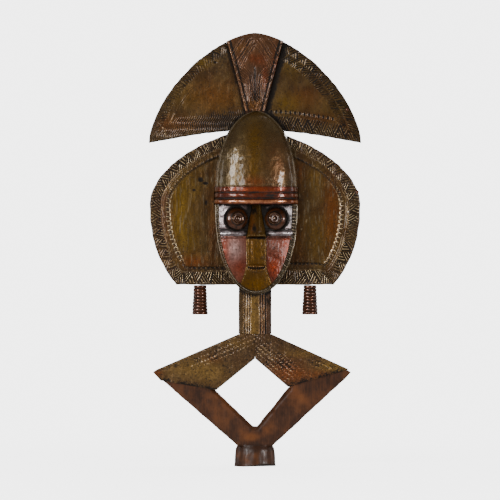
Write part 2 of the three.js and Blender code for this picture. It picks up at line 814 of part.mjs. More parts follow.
// The nose, the mouth and the strip under them, in one sheet
function faceCentreSheet() {
  const mouthZ = browBottomZ - mouthDrop;
  const noseFootZ = plateBottomZ - clearance;
  const levels = [];
  const chinTop = mouthZ - mouthHeight;
  for (let i = chinRows; i >= 0; i -= 1) {
    const share = Math.sin(((Math.PI / 2) * i) / chinRows);
    levels.push(lerp(chinTop, browBottomZ - faceHeight + rimWidth + clearance, share));
  }
  for (let i = 1; i <= mouthRows; i += 1) levels.push(lerp(chinTop, mouthZ + mouthHeight, i / mouthRows));
  levels.push(noseFootZ - noseUndercut, noseFootZ);
  for (let i = 1; i <= noseRows; i += 1) levels.push(lerp(noseFootZ, browBottomZ - clearance, i / noseRows));
  const relief = (x, z) => {
    if (z >= noseFootZ) {
      const share = (z - noseFootZ) / (browBottomZ - noseFootZ);
      const across = clamp(1 - Math.abs(x) / centreHalfWidth(z), 0, 1);
      return lerp(noseProjection, noseTopProjection, share) * across;
    }
    const lip = 1 - (2 * x / mouthWidth) ** 2 - (2 * (z - mouthZ) / mouthHeight) ** 2;
    return mouthRelief * clamp(lip, 0, 1);
  };
  return facePlate(centreColumns, levels, (z) => -centreHalfWidth(z), centreHalfWidth, relief);
}

// A domed disc with a ring and a nail, seated square on the hollow face
function eyeDisc(side) {
  const x = headOffset + (side * eyeSpacing) / 2;
  const z = browBottomZ - eyeDrop;
  const dome = (r) => eyeDepth * Math.sqrt(1 - (r / eyeRadius) ** 2 * eyeDomeFullness);
  const middle = dome(eyeRingRadius);
  const profile = [point2(0, 0), point2(eyeRadius, 0)];
  for (let i = 0; i <= discDomeSteps; i += 1) {
    const r = lerp(eyeRadius, eyeRingRadius + eyeRingWidth, i / discDomeSteps);
    profile.push(point2(r, dome(r)));
  }
  profile.push(point2(eyeRingRadius, middle + eyeRingHeight));
  profile.push(point2(eyeRingRadius - eyeRingWidth, middle));
  profile.push(point2(nailRadius, middle));
  profile.push(point2(nailShoulderRadius, middle + nailShoulderHeight));
  profile.push(point2(0, middle + nailHeight));
  const disc = new THREE.LatheGeometry(profile, discSteps);
  const slopeX = (faceSurface(x + eyeRadius, z) - faceSurface(x - eyeRadius, z)) / (2 * eyeRadius);
  const slopeZ = (faceSurface(x, z + eyeRadius) - faceSurface(x, z - eyeRadius)) / (2 * eyeRadius);
  const outwards = point3(slopeX, -1, slopeZ).normalize();
  const seat = clearance + faceHollow * (eyeRadius / headHalfWidth) ** 2;
  disc.applyQuaternion(new THREE.Quaternion().setFromUnitVectors(point3(0, 1, 0), outwards));
  disc.translate(x + outwards.x * seat, faceSurface(x, z) + outwards.y * seat, z + outwards.z * seat);
  return toSolid(disc);
}

// Sheets of the neck and shoulders

function neckSheet() {
  const stations = [];
  for (let i = 0; i < neckRidgeCount; i += 1) {
    const centre = neckRidgeStart + i * neckRidgeSpacing;
    for (const [step, rise] of [[-1, 0], [0, neckRidgeHeight], [1, 0]]) {
      stations.push([centre + (step * neckRidgeWidth) / 2, rise]);
    }
  }
  const edge = neckRidgeStart + neckRidgeCount * neckRidgeSpacing;
  for (let i = 0; i <= neckSideSteps; i += 1) {
    const angle = (Math.PI / 2) * (i / neckSideSteps);
    stations.push([lerp(edge, neckWidth / 2, Math.sin(angle)), 0]);
  }
  const across = [...stations.toReversed().map(([x, rise]) => [-x, rise]), ...stations];
  const columns = across.length - 1;
  const bottom = lozengeTopZ + clearance;
  const place = (u, v, sunk) => {
    const [x, rise] = across[Math.round(u * columns)];
    const grow = sunk ? -sheetThickness : 0;
    const half = neckWidth / 2;
    const depth = lozengeThickness / 2 + grow + (sunk ? 0 : rise);
    const share = 1 - Math.abs(x / half) ** neckRoundness;
    const top = jawBottomAt(x) - clearance;
    return point3((x * (half + grow)) / half, -depth * share ** (1 / neckRoundness), lerp(bottom, top, v));
  };
  return plate(columns, 1, (u, v) => place(u, v, false), (u, v) => place(u, v, true));
}

// The sheet over one arm of the lozenge, folded in round the opening and back round the edge
function shoulderSheet(side) {
  const [reach, drop, hollow, hollowHeight] = side < 0
    ? [leftTipReach, leftSheetDrop, openingLeft, openingLeftHeight]
    : [rightTipReach, rightSheetDrop, openingRight, openingRightHeight];
  const [rows, rowShare] = side < 0
    ? [shoulderRowsLeft, shoulderRowShareLeft]
    : [shoulderRowsRight, shoulderRowShareRight];
  const full = [
    ...lozengeOutline,
    point2(neckWidth / 2, lozengeTopZ + neckWidth),
    point2(-neckWidth / 2, lozengeTopZ + neckWidth),
  ];
  const hole = slab(openingOutline, -beyond, beyond);
  const innerHole = slab(offsetOutline(openingOutline, sheetThickness), -beyond, beyond);
  const shell = slab(full, lozengeFront, lozengeFront + foldDepth).subtract(hole);
  const inside = slab(offsetOutline(full, -sheetThickness), lozengeFront + sheetThickness, 0).subtract(innerHole);
  const region = slab([
    point2((side * clearance) / 2, lozengeTopZ),
    point2(side * beyond, lozengeTopZ),
    point2(side * beyond, tipZ - drop),
    point2(side * (reach - tipLowerRun), tipZ - drop),
    point2(side * hollow, footHeight + hollowHeight),
    point2((side * clearance) / 2, footHeight + hollowHeight),
  ], -beyond, beyond);
  const rowStart = point2((side * neckWidth) / 4, lozengeTopZ);
  const rowEnd = point2(side * (reach - 2 * tipLowerRun), tipZ + tipUpperRise);
  const ornament = [];
  for (let i = 1; i <= rows; i += 1) {
    const start = point2(rowStart.x, rowStart.y - i * shoulderRowSpacing);
    const tipEnd = point2(rowEnd.x, rowEnd.y - (i * shoulderRowSpacing) / 2);
    ornament.push(beadRow([start, start.clone().lerp(tipEnd, rowShare)], lozengeFront));
  }
  return shell.subtract(inside).add(joined(ornament)).subtract(hole).intersect(region);
}

function earPendant(side) {
  const topZ = wingBottomZ - clearance;
  const profile = [point2(0, -pendantLength)];
  const pitch = pendantLength / pendantRings;
  for (let i = 0; i < pendantRings; i += 1) {
    for (const [share, groove] of [[0, pendantRingDepth], [1 / 2, 0]]) {
      const z = (i + share) * pitch - pendantLength;
      const radius = lerp(pendantBottomRadius, pendantTopRadius, 1 + z / pendantLength) - groove;
      profile.push(point2(radius, z));
    }
  }
  profile.push(point2(pendantTopRadius - pendantRingDepth, 0), point2(0, 0));
  const pendant = new THREE.LatheGeometry(profile, pendantSteps);
  pendant.rotateX(Math.PI / 2);
  pendant.translate(side * pendantReach, boardFront + boardThickness / 2, topZ);
  return toSolid(pendant);
}

// The figure

const figure = new THREE.Group();

function addPiece(name, solid, material) {
  const piece = new THREE.Mesh(toGeometry(solid), material);
  piece.name = name;
  figure.add(piece);
}

addPiece('wood_core', joined([boardsCore(), headCore(), neckColumn(-skin), lozengeCore(), footCore()]), wood);
addPiece('crest_centre_strip', crestCentreStrip(), copper);
addPiece('forehead_sheet', foreheadSheet(), brass);
addPiece('brow_band', browBand(), copper);
addPiece('face_rim', faceRim(), brass);
addPiece('face_centre_sheet', faceCentreSheet(), brass);
addPiece('neck_sheet', neckSheet(), brass);
for (const [word, side] of [['left', -1], ['right', 1]]) {
  addPiece(`crest_sheet_${word}`, crestSheet(side), brass);
  addPiece(`wing_sheet_${word}`, wingSheet(side), brass);
  addPiece(`eye_plate_${word}`, eyePlate(side), greyMetal);
  addPiece(`eye_disc_${word}`, eyeDisc(side), darkCopper);
  addPiece(`cheek_sheet_${word}`, cheekSheet(side), copper);
  addPiece(`shoulder_sheet_${word}`, shoulderSheet(side), brass);
  addPiece(`ear_pendant_${word}`, earPendant(side), darkCopper);
}

export default figure;
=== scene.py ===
"""The looks of a Kota guardian figure: beaten brass and copper sheet on a carved wooden core.

Shapes are worked out in millimetres and turned to metres when a piece is dressed. +Z is up, the figure looks
along -Y, and left and right are the viewer's. Each sheet starts as a flat grid that is laid on its surface,
beaten and chased, and given its thickness.
"""

from __future__ import annotations

import json
import logging
import math
from collections.abc import Callable, Iterable, Iterator
from dataclasses import dataclass, replace
from enum import Enum
from typing import NamedTuple

import bmesh
import bpy
from mathutils import Matrix, Vector, noise

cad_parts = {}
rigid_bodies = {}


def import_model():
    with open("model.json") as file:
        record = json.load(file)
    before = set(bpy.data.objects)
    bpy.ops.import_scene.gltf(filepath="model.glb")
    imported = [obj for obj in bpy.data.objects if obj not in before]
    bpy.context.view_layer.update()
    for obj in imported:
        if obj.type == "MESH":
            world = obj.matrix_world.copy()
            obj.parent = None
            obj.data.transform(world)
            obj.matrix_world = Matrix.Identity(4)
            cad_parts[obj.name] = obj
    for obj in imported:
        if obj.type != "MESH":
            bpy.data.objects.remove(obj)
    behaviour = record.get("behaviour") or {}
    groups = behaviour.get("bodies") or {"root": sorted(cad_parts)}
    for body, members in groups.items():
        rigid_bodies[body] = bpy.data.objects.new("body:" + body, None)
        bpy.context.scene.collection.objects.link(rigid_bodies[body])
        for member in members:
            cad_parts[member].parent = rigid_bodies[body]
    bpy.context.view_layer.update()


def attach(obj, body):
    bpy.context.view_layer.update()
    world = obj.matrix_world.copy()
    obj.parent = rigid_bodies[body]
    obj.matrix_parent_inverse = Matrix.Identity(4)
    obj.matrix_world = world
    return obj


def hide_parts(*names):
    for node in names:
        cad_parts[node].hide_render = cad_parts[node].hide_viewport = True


LOG = logging.getLogger("kota_figure")

MM = 0.001
BODY = "root"
HALF_TURN = math.pi
QUARTER_TURN = math.pi / 2
SHARP_TURN = math.radians(50)
FORWARDS = Vector((0, -1, 0))

# In millimetres
TOUCHING = 1e-3
SHEET_WALL = 1.2
THREAD = 0.6
STROKE_PITCH = 3.2

Colour = tuple[float, float, float]
Curve = list[Vector]


class Side(Enum):
    """A side of the figure, as the viewer sees it."""

    LEFT = -1
    RIGHT = 1

    @property
    def word(self) -> str:
        """The side's name, as the pieces' names end with it."""
        return self.name.lower()


class Mark(NamedTuple):
    """What the hammer and time left at one point: its rise in millimetres, and shares for its finish, which
    in places also hold painted highlight and painted shade.
    """

    rise: float = 0.0
    relief: float = 0.5
    gold: float = 0.0
    red: float = 0.0

    @staticmethod
    def layers(bm: bmesh.types.BMesh) -> list[bmesh.types.BMLayerItem]:
        """New layers of a mesh for the marks of its points."""
        return [bm.verts.layers.float.new(word) for word in Mark._fields[1:]]

    def write(self, vert: bmesh.types.BMVert, layers: list[bmesh.types.BMLayerItem]) -> None:
        """Writes the shares at a point of a mesh."""
        for layer, value in zip(layers, self[1:]):
            vert[layer] = value


class Spot(NamedTuple):
    """A soft-edged patch on the front of the figure: its middle, its half sizes and its strength."""

    x: float
    z: float
    half_width: float
    half_height: float
    strength: float = 1.0


# Numbers and curves


def mix(first: float, second: float, share: float) -> float:
    """The value at a share of the way from first to second."""
    return first + (second - first) * share


def clamp(value: float, low: float = 0.0, high: float = 1.0) -> float:
    """The value, kept between low and high."""
    return max(low, min(high, value))


def smooth(value: float, low: float, high: float) -> float:
    """A soft step from 0 at low to 1 at high."""
    share = clamp((value - low) / (high - low))
    return share * share * (3 - 2 * share)


def powered(value: float, power: float) -> float:
    """The value's size raised to a power, with its sign kept."""
    return math.copysign(abs(value) ** power, value)


def bump(distance: float, reach: float) -> float:
    """A round bump: 1 at no distance, 0 from reach on."""
    share = clamp(abs(distance) / reach)
    return (1 - share * share) ** 2


def patches(point: Vector, *spots: Spot) -> float:
    """How strongly a point is inside the given patches.

    Args:
        point: The point.
        spots: The patches.

    Returns:
        A share from 0 to 1.
    """
    total = 0.0
    for spot in spots:
        away = ((point.x - spot.x) / spot.half_width) ** 2 + ((point.z - spot.z) / spot.half_height) ** 2
        total += spot.strength * math.exp(-away)
    return clamp(total)


def along(points: Curve) -> list[float]:
    """How far each point of a curve is from its start.

    Args:
        points: The curve.

    Returns:
        The length of the curve up to each point.
    """
    reached = [0.0]
    for before, after in zip(points, points[1:]):
        reached.append(reached[-1] + (after - before).length)
    return reached


def respaced(points: Curve, steps: int) -> Curve:
    """The same curve with evenly spaced points.

    Args:
        points: The curve.
        steps: How many steps the new curve has.

    Returns:
        The new curve, of steps + 1 points.
    """
    reached = along(points)
    result = []
    place = 0
    for step in range(steps + 1):
        target = reached[-1] * step / steps
        while place < len(points) - 2 and reached[place + 1] < target:
            place += 1
        span = reached[place + 1] - reached[place]
        share = clamp((target - reached[place]) / span) if span > 0 else 0.0
        result.append(points[place].lerp(points[place + 1], share))
    return result


def distance_to(point: Vector, line: Curve) -> float:
    """The distance from a point to a line of straight stretches.

    Args:
        point: The point.
        line: The line's corners.

    Returns:
        The distance.
    """
    nearest = math.inf
    for before, after in zip(line, line[1:]):
        span = after - before
        share = clamp((point - before).dot(span) / span.length_squared)
        nearest = min(nearest, (point - before - span * share).length)
    return nearest


def limited(value: float, limit: float) -> float:
    """The value, flattened softly towards a limit on both sides."""
    return limit * math.tanh(value / limit)


def kept(points: Curve, inside: Callable[[Vector], float]) -> Curve:
    """The stretch of a curve where a measure is above 0.

    Args:
        points: The curve.
        inside: The measure of a point.

    Returns:
        The stretch, with its ends where the measure crosses 0.
    """
    result = []
    for before, after in zip(points, points[1:]):
        first, second = inside(before), inside(after)
        if first > 0:
            result.append(before)
        if (first > 0) != (second > 0):
            result.append(before.lerp(after, first / (first - second)))
    if inside(points[-1]) > 0:
        result.append(points[-1])
    return result


# Marks of the hammer


def waves(point: Vector, size: float, height: float, seed: float) -> float:
    """Slow, uneven swelling of a sheet.

    Args:
        point: Where on the figure.
        size: The size of one swelling.
        height: Its greatest height.
        seed: Any number, to tell one sheet's swelling from another's.

    Returns:
        The height there, above or below the sheet.
    """
    return height * noise.noise(point / size + Vector((seed, seed, seed)))


def dents(point: Vector, width: float, length: float, depth: float, seed: float) -> float:
    """Shallow hollows of a round hammer face, side by side.

    Args:
        point: Where on the figure.
        width: The width of a hollow.
        length: Its height.
        depth: Its depth.
        seed: Any number, to tell one sheet's hollows from another's.

    Returns:
        The height there, at most 0.
    """
    scaled = Vector((point.x / width + seed, point.y / length, point.z / length + seed))
    nearest = noise.voronoi(scaled)[0][0]
    return -depth * max(1 - (nearest / 0.75) ** 2, 0.0)


class Beating(NamedTuple):
    """How a sheet was beaten: the size and height of its swellings, and the hammer's hollows."""

    seed: float
    swelling: tuple[float, float]
    dent: tuple[float, float, float]

    def at(self, point: Vector, shift: float = 0.0) -> float:
        """The height at a point. A shift tells the swellings of two sheets apart."""
        return waves(point, *self.swelling, self.seed + shift) + dents(point, *self.dent, self.seed)


def chased(distance: float, width: float, height: float) -> float:
    """A chased line: a fine raised thread with a groove on each side.

    Args:
        distance: How far the point is from the line's middle.
        width: The thread's half width.
        height: The thread's height.

    Returns:
        The height there.
    """
    thread = math.exp(-((distance / width) ** 2))
    groove = math.exp(-(((distance - 2.1 * width) / width) ** 2))
    return height * (thread - 0.75 * groove)


def strokes(across: float, pitch: float, depth: float) -> float:
    """Parallel strokes of a tracing tool, as grooves.

    Args:
        across: The place at right angles to the strokes.
        pitch: The distance between two strokes.
        depth: Their depth.

    Returns:
        The height there.
    """
    return depth * (math.cos(2 * math.pi * across / pitch) - 0.1)


def zigzag(run: float, inset: float, low: float, high: float, step: float, depth: float) -> float:
    """A zigzag groove with strokes on both sides of it, slanting one way outside and the other inside.

    Args:
        run: The length along the border.
        inset: The distance inside the edge.
        low: The inset of the zigzag's outer corners.
        high: The inset of its inner ones.
        step: The length of one whole zigzag.
        depth: How deep the strokes are.

    Returns:
        The height there.
    """
    share = abs((run / step) % 1 * 2 - 1)
    slope = 2 * (high - low) / step
    lean = 1 / math.hypot(1, slope)
    away = (inset - mix(low, high, share)) * lean
    slant = inset + slope * run if away < 0 else inset - slope * run
    groove = -0.8 * depth * math.exp(-((away / THREAD) ** 2))
    return groove + strokes(slant * lean, STROKE_PITCH, depth) * smooth(abs(away), 0.1, 0.9)


def bead(run: float, offset: float, pitch: float, radius: float) -> float:
    """A row of round beads beaten out from behind, each in a shallow ring.

    Args:
        run: The length along the row.
        offset: The distance from the row.
        pitch: The distance between two beads.
        radius: A bead's radius.

    Returns:
        The height there.
    """
    away = math.hypot(run % pitch - pitch / 2, offset)
    if away > radius + 1.4:
        return 0.0
    dome = math.sqrt(max(1 - (away / radius) ** 2, 0))
    return 1.1 * dome - 0.3 * bump(away - radius - 0.4, 1.0)


# Shader maths


class Value:
    """A shader socket that carries a number, for maths written as Python expressions."""

    def __init__(self, graph: Graph, socket: bpy.types.NodeSocket) -> None:
        """Wraps a socket of the graph."""
        self.graph = graph
        self.socket = socket

    def _maths(self, operation: str, first: Value | float, second: Value | float) -> Value:
        """The outcome of a Math node on two values."""
        node = self.graph.node("ShaderNodeMath", {"operation": operation}, {0: first, 1: second})
        return Value(self.graph, node.outputs[0])

    def __add__(self, other: Value | float) -> Value:
        """Sum."""
        return self._maths("ADD", self, other)

    def __radd__(self, other: float) -> Value:
        """Sum, with the number first."""
        return self._maths("ADD", other, self)

    def __sub__(self, other: Value | float) -> Value:
        """Difference."""
        return self._maths("SUBTRACT", self, other)

    def __rsub__(self, other: float) -> Value:
        """Difference, with the number first."""
        return self._maths("SUBTRACT", other, self)

    def __mul__(self, other: Value | float) -> Value:
        """Product."""
        return self._maths("MULTIPLY", self, other)

    def __rmul__(self, other: float) -> Value:
        """Product, with the number first."""
        return self._maths("MULTIPLY", other, self)

    def step(self, low: float, high: float) -> Value:
        """A soft step of this value.

        Args:
            low: Where it is still 0.
            high: Where it reaches 1.

        Returns:
            The step.
        """
        node = self.graph.node(
            "ShaderNodeMapRange",
            {"interpolation_type": "SMOOTHSTEP"},
            {"Value": self, "From Min": low, "From Max": high},
        )
        return Value(self.graph, node.outputs["Result"])


class Graph:
    """The node tree of one material."""

    def __init__(self, name: str) -> None:
        """Starts a material with an empty tree.

        Args:
            name: The material's name.
        """
        self.material = bpy.data.materials.new(name)
        self.material.use_nodes = True
        self.tree = self.material.node_tree
        self.tree.nodes.clear()
        self.place = self.node("ShaderNodeTexCoord").outputs["Object"]

    def node(
        self,
        kind: str,
        settings: dict[str, object] | None = None,
        inputs: dict[str | int, object] | None = None,
    ) -> bpy.types.Node:
        """Adds a node.

        Args:
            kind: The node's type.
            settings: Its own settings, set first.
            inputs: Values or links of its sockets, by name or number.

        Returns:
            The node.
        """
        node = self.tree.nodes.new(kind)
        for name, value in (settings or {}).items():
            setattr(node, name, value)
        for name, value in (inputs or {}).items():
            source = value.socket if isinstance(value, Value) else value
            if isinstance(source, bpy.types.NodeSocket):
                self.tree.links.new(source, node.inputs[name])
            else:
                node.inputs[name].default_value = source
        return node

    def attribute(self, name: str) -> Value:
        """A number that the mesh carries at each of its points."""
        return Value(self, self.node("ShaderNodeAttribute", {"attribute_name": name}).outputs["Fac"])

    def noise(self, size: float, detail: float, stretch: Colour = (1.0, 1.0, 1.0)) -> Value:
        """Cloudy noise on the figure's own coordinates.

        Args:
            size: The size of its patches.
            detail: How many finer layers it has.
            stretch: How much longer the patches are along each axis.

        Returns:
            The noise, about 0.5.
        """
        scale = tuple(1 / (size * length) for length in stretch)
        turned = self.node("ShaderNodeMapping", {}, {"Vector": self.place, "Scale": scale})
        cloud = self.node(
            "ShaderNodeTexNoise", {}, {"Vector": turned.outputs[0], "Scale": 1.0, "Detail": detail}
        )
        return Value(self, cloud.outputs["Fac"])

    def blend(self, share: Value, first: object, second: object) -> bpy.types.NodeSocket:
        """A colour between two.

        Args:
            share: How much of the second it has.
            first: The first, a colour or a socket.
            second: The second.

        Returns:
            The socket of the colour.
        """
        def full(colour: object) -> object:
            """The colour with its alpha, or the socket as it is."""
            return (*colour, 1.0) if isinstance(colour, tuple) else colour

        node = self.node("ShaderNodeMix", {"data_type": "RGBA"}, {0: share, 6: full(first), 7: full(second)})
        return node.outputs[2]

    def relief(self, height: Value, depth: float, strength: float) -> bpy.types.NodeSocket:
        """A bumped surface normal.

        Args:
            height: The height of the surface, 0 to 1.
            depth: What a height of 1 stands for, in metres.
            strength: How strongly it shows.

        Returns:
            The normal.
        """
        node = self.node("ShaderNodeBump", {}, {"Height": height, "Distance": depth, "Strength": strength})
        return node.outputs["Normal"]

    def finish(self, **sockets: object) -> bpy.types.Material:
        """Ends the tree with a Principled shader.

        Args:
            sockets: Its inputs, with _ for a space in their names.

        Returns:
            The finished material.
        """
        inputs = {name.replace("_", " "): value for name, value in sockets.items()}
        shader = self.node("ShaderNodeBsdfPrincipled", {}, inputs)
        self.node("ShaderNodeOutputMaterial", {}, {"Surface": shader.outputs[0]})
        return self.material


# Finishes


@dataclass(frozen=True)
class SheetFinish:
    """Beaten sheet metal under an old patina, worn bright on its high places and dark in its hollows; the
    same masks also show painted highlights and painted shade.
    """

    name: str
    slot: str
    body: Colour
    cloud: Colour
    gold: Colour
    red: Colour
    bright: Colour
    dull: Colour = (0.032, 0.023, 0.016)
    dirt: Colour = (0.006, 0.0035, 0.002)
    metallic: float = 0.5
    roughness: float = 0.3
    gloss: float = 0.35
    wear: float = 0.85
    veil: float = 0.35
    streaked: float = 0.2
    grain: float = 0.5 * MM
    cloud_size: float = 20 * MM
    smoke_size: float = 9 * MM
    fleck_size: float = 2.6 * MM
    grit_size: float = 0.8 * MM
    streak_size: float = 1.7 * MM

    def material(self) -> bpy.types.Material:
        """Builds the material, which reads the marks of the hammer from the mesh, painted highlights and
        painted shade among them.

        Returns:
            The material.
        """
        graph = Graph(self.name)
        relief = graph.attribute("relief")
        clouds = graph.noise(self.cloud_size, 5.0)
        smoke = graph.noise(self.smoke_size, 4.0, (1.0, 1.0, 1.7))
        flecks = graph.noise(self.fleck_size, 4.0)
        grit = graph.noise(self.grit_size, 3.0)
        streaks = graph.noise(self.streak_size, 3.0, (1.0, 1.0, 9.0))
        marked = relief + (flecks - 0.5) * 0.6 + (grit - 0.5) * 0.3
        # Worn, bright where the relief stands high, holds wear and painted highlights alike; the next mask,
        # dark where the relief sits low, holds grime in the hollows and painted shade.
        worn = marked.step(0.56, 0.84)
        dirt_and_shade = 1 - (relief + (flecks - 0.5) * 0.35 + (smoke - 0.5) * 0.2).step(0.1, 0.42)
        colour = graph.blend(clouds.step(0.38, 0.64), self.body, self.cloud)
        colour = graph.blend(smoke.step(0.5, 0.7) * self.veil, colour, self.dull)
        speckle = 0.35 + flecks * 1.1
        colour = graph.blend(graph.attribute("gold") * speckle, colour, self.gold)
        colour = graph.blend(graph.attribute("red") * speckle, colour, self.red)
        streaky = (streaks * 0.65 + grit * 0.35).step(0.46, 0.66)
        colour = graph.blend(streaky * self.streaked, colour, self.dirt)
        colour = graph.blend((1 - flecks).step(0.5, 0.72) * 0.4, colour, self.dirt)
        # Painted glints: fine light streaks, up and down, laid into the colour.
        colour = graph.blend(streaks.step(0.56, 0.72) * self.streaked * 0.35, colour, self.bright)
        colour = graph.blend(worn * self.wear, colour, self.bright)
        colour = graph.blend(dirt_and_shade * 0.985, colour, self.dirt)
        rough = self.roughness + (smoke - 0.5) * 0.16 + (grit - 0.5) * 0.3 + dirt_and_shade * 0.3 - worn * 0.06
        height = flecks * 0.6 + grit * 0.15 + streaks * (0.2 + self.streaked)
        return graph.finish(
            Base_Color=colour,
            Metallic=self.metallic - dirt_and_shade * 0.45,
            Roughness=rough,
            Normal=graph.relief(height, self.grain, 0.7),
            Specular_IOR_Level=self.gloss * 0.4,
            Coat_Weight=(1 - dirt_and_shade) * self.gloss * 0.8,
            Coat_Roughness=0.08,
        )


@dataclass(frozen=True)
class WoodFinish:
    """Old carved hardwood, dark with handling and reddish where the surface is worn."""

    name: str
    slot: str
    dark: Colour
    body: Colour
    warm: Colour
    grain_size: float = 1.5 * MM
    stripe_size: float = 7 * MM
    cloud_size: float = 26 * MM
    pore_size: float = 0.7 * MM
    mottle_size: float = 5 * MM
    grain_depth: float = 0.4 * MM

    def material(self) -> bpy.types.Material:
        """Builds the material, which reads wear, polish and redness from the mesh.

        Returns:
            The material.
        """
        graph = Graph(self.name)
        grain = graph.noise(self.grain_size, 4.0, (1.0, 1.0, 16.0))
        stripes = graph.noise(self.stripe_size, 3.0, (1.0, 1.0, 6.0))
        clouds = graph.noise(self.cloud_size, 4.0)
        pores = graph.noise(self.pore_size, 2.0, (1.0, 1.0, 9.0))
        warmth = graph.attribute("red")
        polish = graph.attribute("gold")
        worn = graph.attribute("relief")
        mottle = graph.noise(self.mottle_size, 4.0, (1.0, 1.0, 1.4))
        figure = (grain * 0.3 + stripes * 0.2 + mottle * 0.25 + clouds * 0.35).step(0.4, 0.68)
        colour = graph.blend(figure, self.dark, self.body)
        colour = graph.blend((clouds + warmth * 0.7).step(0.5, 0.95) * 0.75, colour, self.warm)
        colour = graph.blend(pores.step(0.56, 0.7) * 0.35, colour, self.dark)
        colour = graph.blend((1 - worn.step(0.1, 0.5)) * 0.8, colour, self.dark)
        height = grain * 0.5 + pores * 0.35 + stripes * 0.4
        return graph.finish(
            Base_Color=colour,
            Roughness=0.44 + (clouds - 0.5) * 0.3 + (1 - figure) * 0.1 - polish * 0.1,
            Normal=graph.relief(height, self.grain_depth, 0.5),
            Specular_IOR_Level=0.16,
            Coat_Weight=0.05 + polish * 0.1,
            Coat_Roughness=0.2,
        )


@dataclass(frozen=True)
class PaperFinish:
    """The pale paper that the figure stands on, which fades into the pale room."""

    name: str = "studio_paper"
    colour: Colour = (0.8, 0.8, 0.8)
    glow: float = 3.6
    fade: tuple[float, float] = (0.2, 1.1)

    def material(self) -> bpy.types.Material:
        """Builds the material, which shows no edge where the paper ends.

        Returns:
            The material.
        """
        graph = Graph(self.name)
        away = graph.node("ShaderNodeVectorMath", {"operation": "LENGTH"}, {0: graph.place})
        seen = graph.node("ShaderNodeLightPath")
        glow = graph.blend(Value(graph, seen.outputs["Is Camera Ray"]), (0.0, 0.0, 0.0), (1.0, 1.0, 1.0))
        return graph.finish(
            Base_Color=(*self.colour, 1.0),
            Roughness=0.9,
            Alpha=1 - Value(graph, away.outputs["Value"]).step(*self.fade),
            Emission_Color=glow,
            Emission_Strength=self.glow,
        )


BRASS = SheetFinish(
    name="old_brass", slot="brass_sheet", body=(0.055, 0.028, 0.01), cloud=(0.088, 0.05, 0.017),
    gold=(0.13, 0.072, 0.008), red=(0.125, 0.034, 0.004), bright=(0.42, 0.32, 0.18),
)
RIM_BRASS = SheetFinish(
    name="rim_brass", slot="brass_sheet", body=(0.05, 0.032, 0.014), cloud=(0.08, 0.055, 0.028),
    gold=(0.12, 0.066, 0.003), red=(0.12, 0.04, 0.012), bright=(0.3, 0.26, 0.19), wear=0.7, streaked=0.1,
)
WING_BRASS = SheetFinish(
    name="wing_brass", slot="brass_sheet", body=(0.056, 0.026, 0.0085), cloud=(0.088, 0.048, 0.014),
    gold=(0.14, 0.075, 0.006), red=(0.13, 0.036, 0.004), bright=(0.52, 0.39, 0.22), streaked=0.6,
    wear=0.8,
)
SHOULDER_BRASS = SheetFinish(
    name="shoulder_brass", slot="brass_sheet", body=(0.072, 0.036, 0.015), cloud=(0.104, 0.058, 0.025),
    gold=(0.2, 0.112, 0.024), red=(0.15, 0.042, 0.01), bright=(0.34, 0.23, 0.11), wear=0.62,
    streaked=0.25, grain=0.7 * MM,
)
CENTRE_BRASS = SheetFinish(
    name="centre_brass", slot="brass_sheet", body=(0.072, 0.034, 0.007), cloud=(0.096, 0.048, 0.01),
    gold=(0.125, 0.052, 0.0008), red=(0.12, 0.026, 0.002), bright=(0.36, 0.26, 0.12), wear=0.6, veil=0.05,
    gloss=0.25,
)
HEAD_BRASS = SheetFinish(
    name="head_brass", slot="brass_sheet", body=(0.058, 0.034, 0.011), cloud=(0.085, 0.055, 0.021),
    gold=(0.095, 0.043, 0.001), red=(0.14, 0.03, 0.002), bright=(0.34, 0.28, 0.19), wear=0.5, veil=0.12,
    gloss=0.5, streaked=0.15, grain=0.9 * MM, roughness=0.25,
)
BROW_COPPER = SheetFinish(
    name="brow_copper", slot="copper_sheet", body=(0.085, 0.014, 0.004), cloud=(0.12, 0.025, 0.006),
    gold=(0.17, 0.044, 0.002), red=(0.19, 0.02, 0.002), bright=(0.42, 0.16, 0.07), veil=0.2, gloss=0.6,
    streaked=0.1, roughness=0.24,
)
# Two copies of the cheek copper: the lit one for the left cheek, whose pale gold tint colours its painted
# sheen, and a darker, duller one for the right cheek as painted shade.
LIT_CHEEK_COPPER = SheetFinish(
    name="cheek_copper", slot="copper_sheet", body=(0.09, 0.021, 0.0095), cloud=(0.13, 0.04, 0.022),
    gold=(0.25, 0.15, 0.13), red=(0.2, 0.022, 0.003), bright=(0.34, 0.15, 0.11), wear=0.3, veil=0.3,
    gloss=0.27, metallic=0.55, streaked=0.15, roughness=0.4,
)
SHADED_CHEEK_COPPER = replace(
    LIT_CHEEK_COPPER, name="shaded_cheek_copper", body=(0.06, 0.0135, 0.0065), cloud=(0.086, 0.027, 0.016),
    red=(0.17, 0.02, 0.0025), bright=(0.26, 0.11, 0.08), gloss=0.2,
)
STRIP_COPPER = SheetFinish(
    name="strip_copper", slot="copper_sheet", body=(0.074, 0.032, 0.013), cloud=(0.102, 0.044, 0.019),
    gold=(0.15, 0.058, 0.005), red=(0.17, 0.028, 0.005), bright=(0.34, 0.17, 0.09), wear=0.6,
)
DARK_COPPER = SheetFinish(
    name="brown_copper", slot="dark_copper", body=(0.034, 0.012, 0.005), cloud=(0.058, 0.021, 0.008),
    gold=(0.12, 0.048, 0.008), red=(0.13, 0.03, 0.006), bright=(0.3, 0.17, 0.09), gloss=0.6,
    roughness=0.2, streaked=0.1,
)
GREY_METAL = SheetFinish(
    name="silvery_plate", slot="grey_metal", body=(0.11, 0.08, 0.078), cloud=(0.2, 0.165, 0.165),
    gold=(0.3, 0.24, 0.2), red=(0.12, 0.05, 0.04), bright=(0.5, 0.45, 0.46), dull=(0.07, 0.045, 0.05),
    gloss=0.4, roughness=0.26, cloud_size=12 * MM,
)
WOOD = WoodFinish(
    name="carved_wood", slot="dark_wood", dark=(0.024, 0.0095, 0.0045), body=(0.066, 0.024, 0.0095),
    warm=(0.145, 0.047, 0.012),
)


# Sheets as meshes


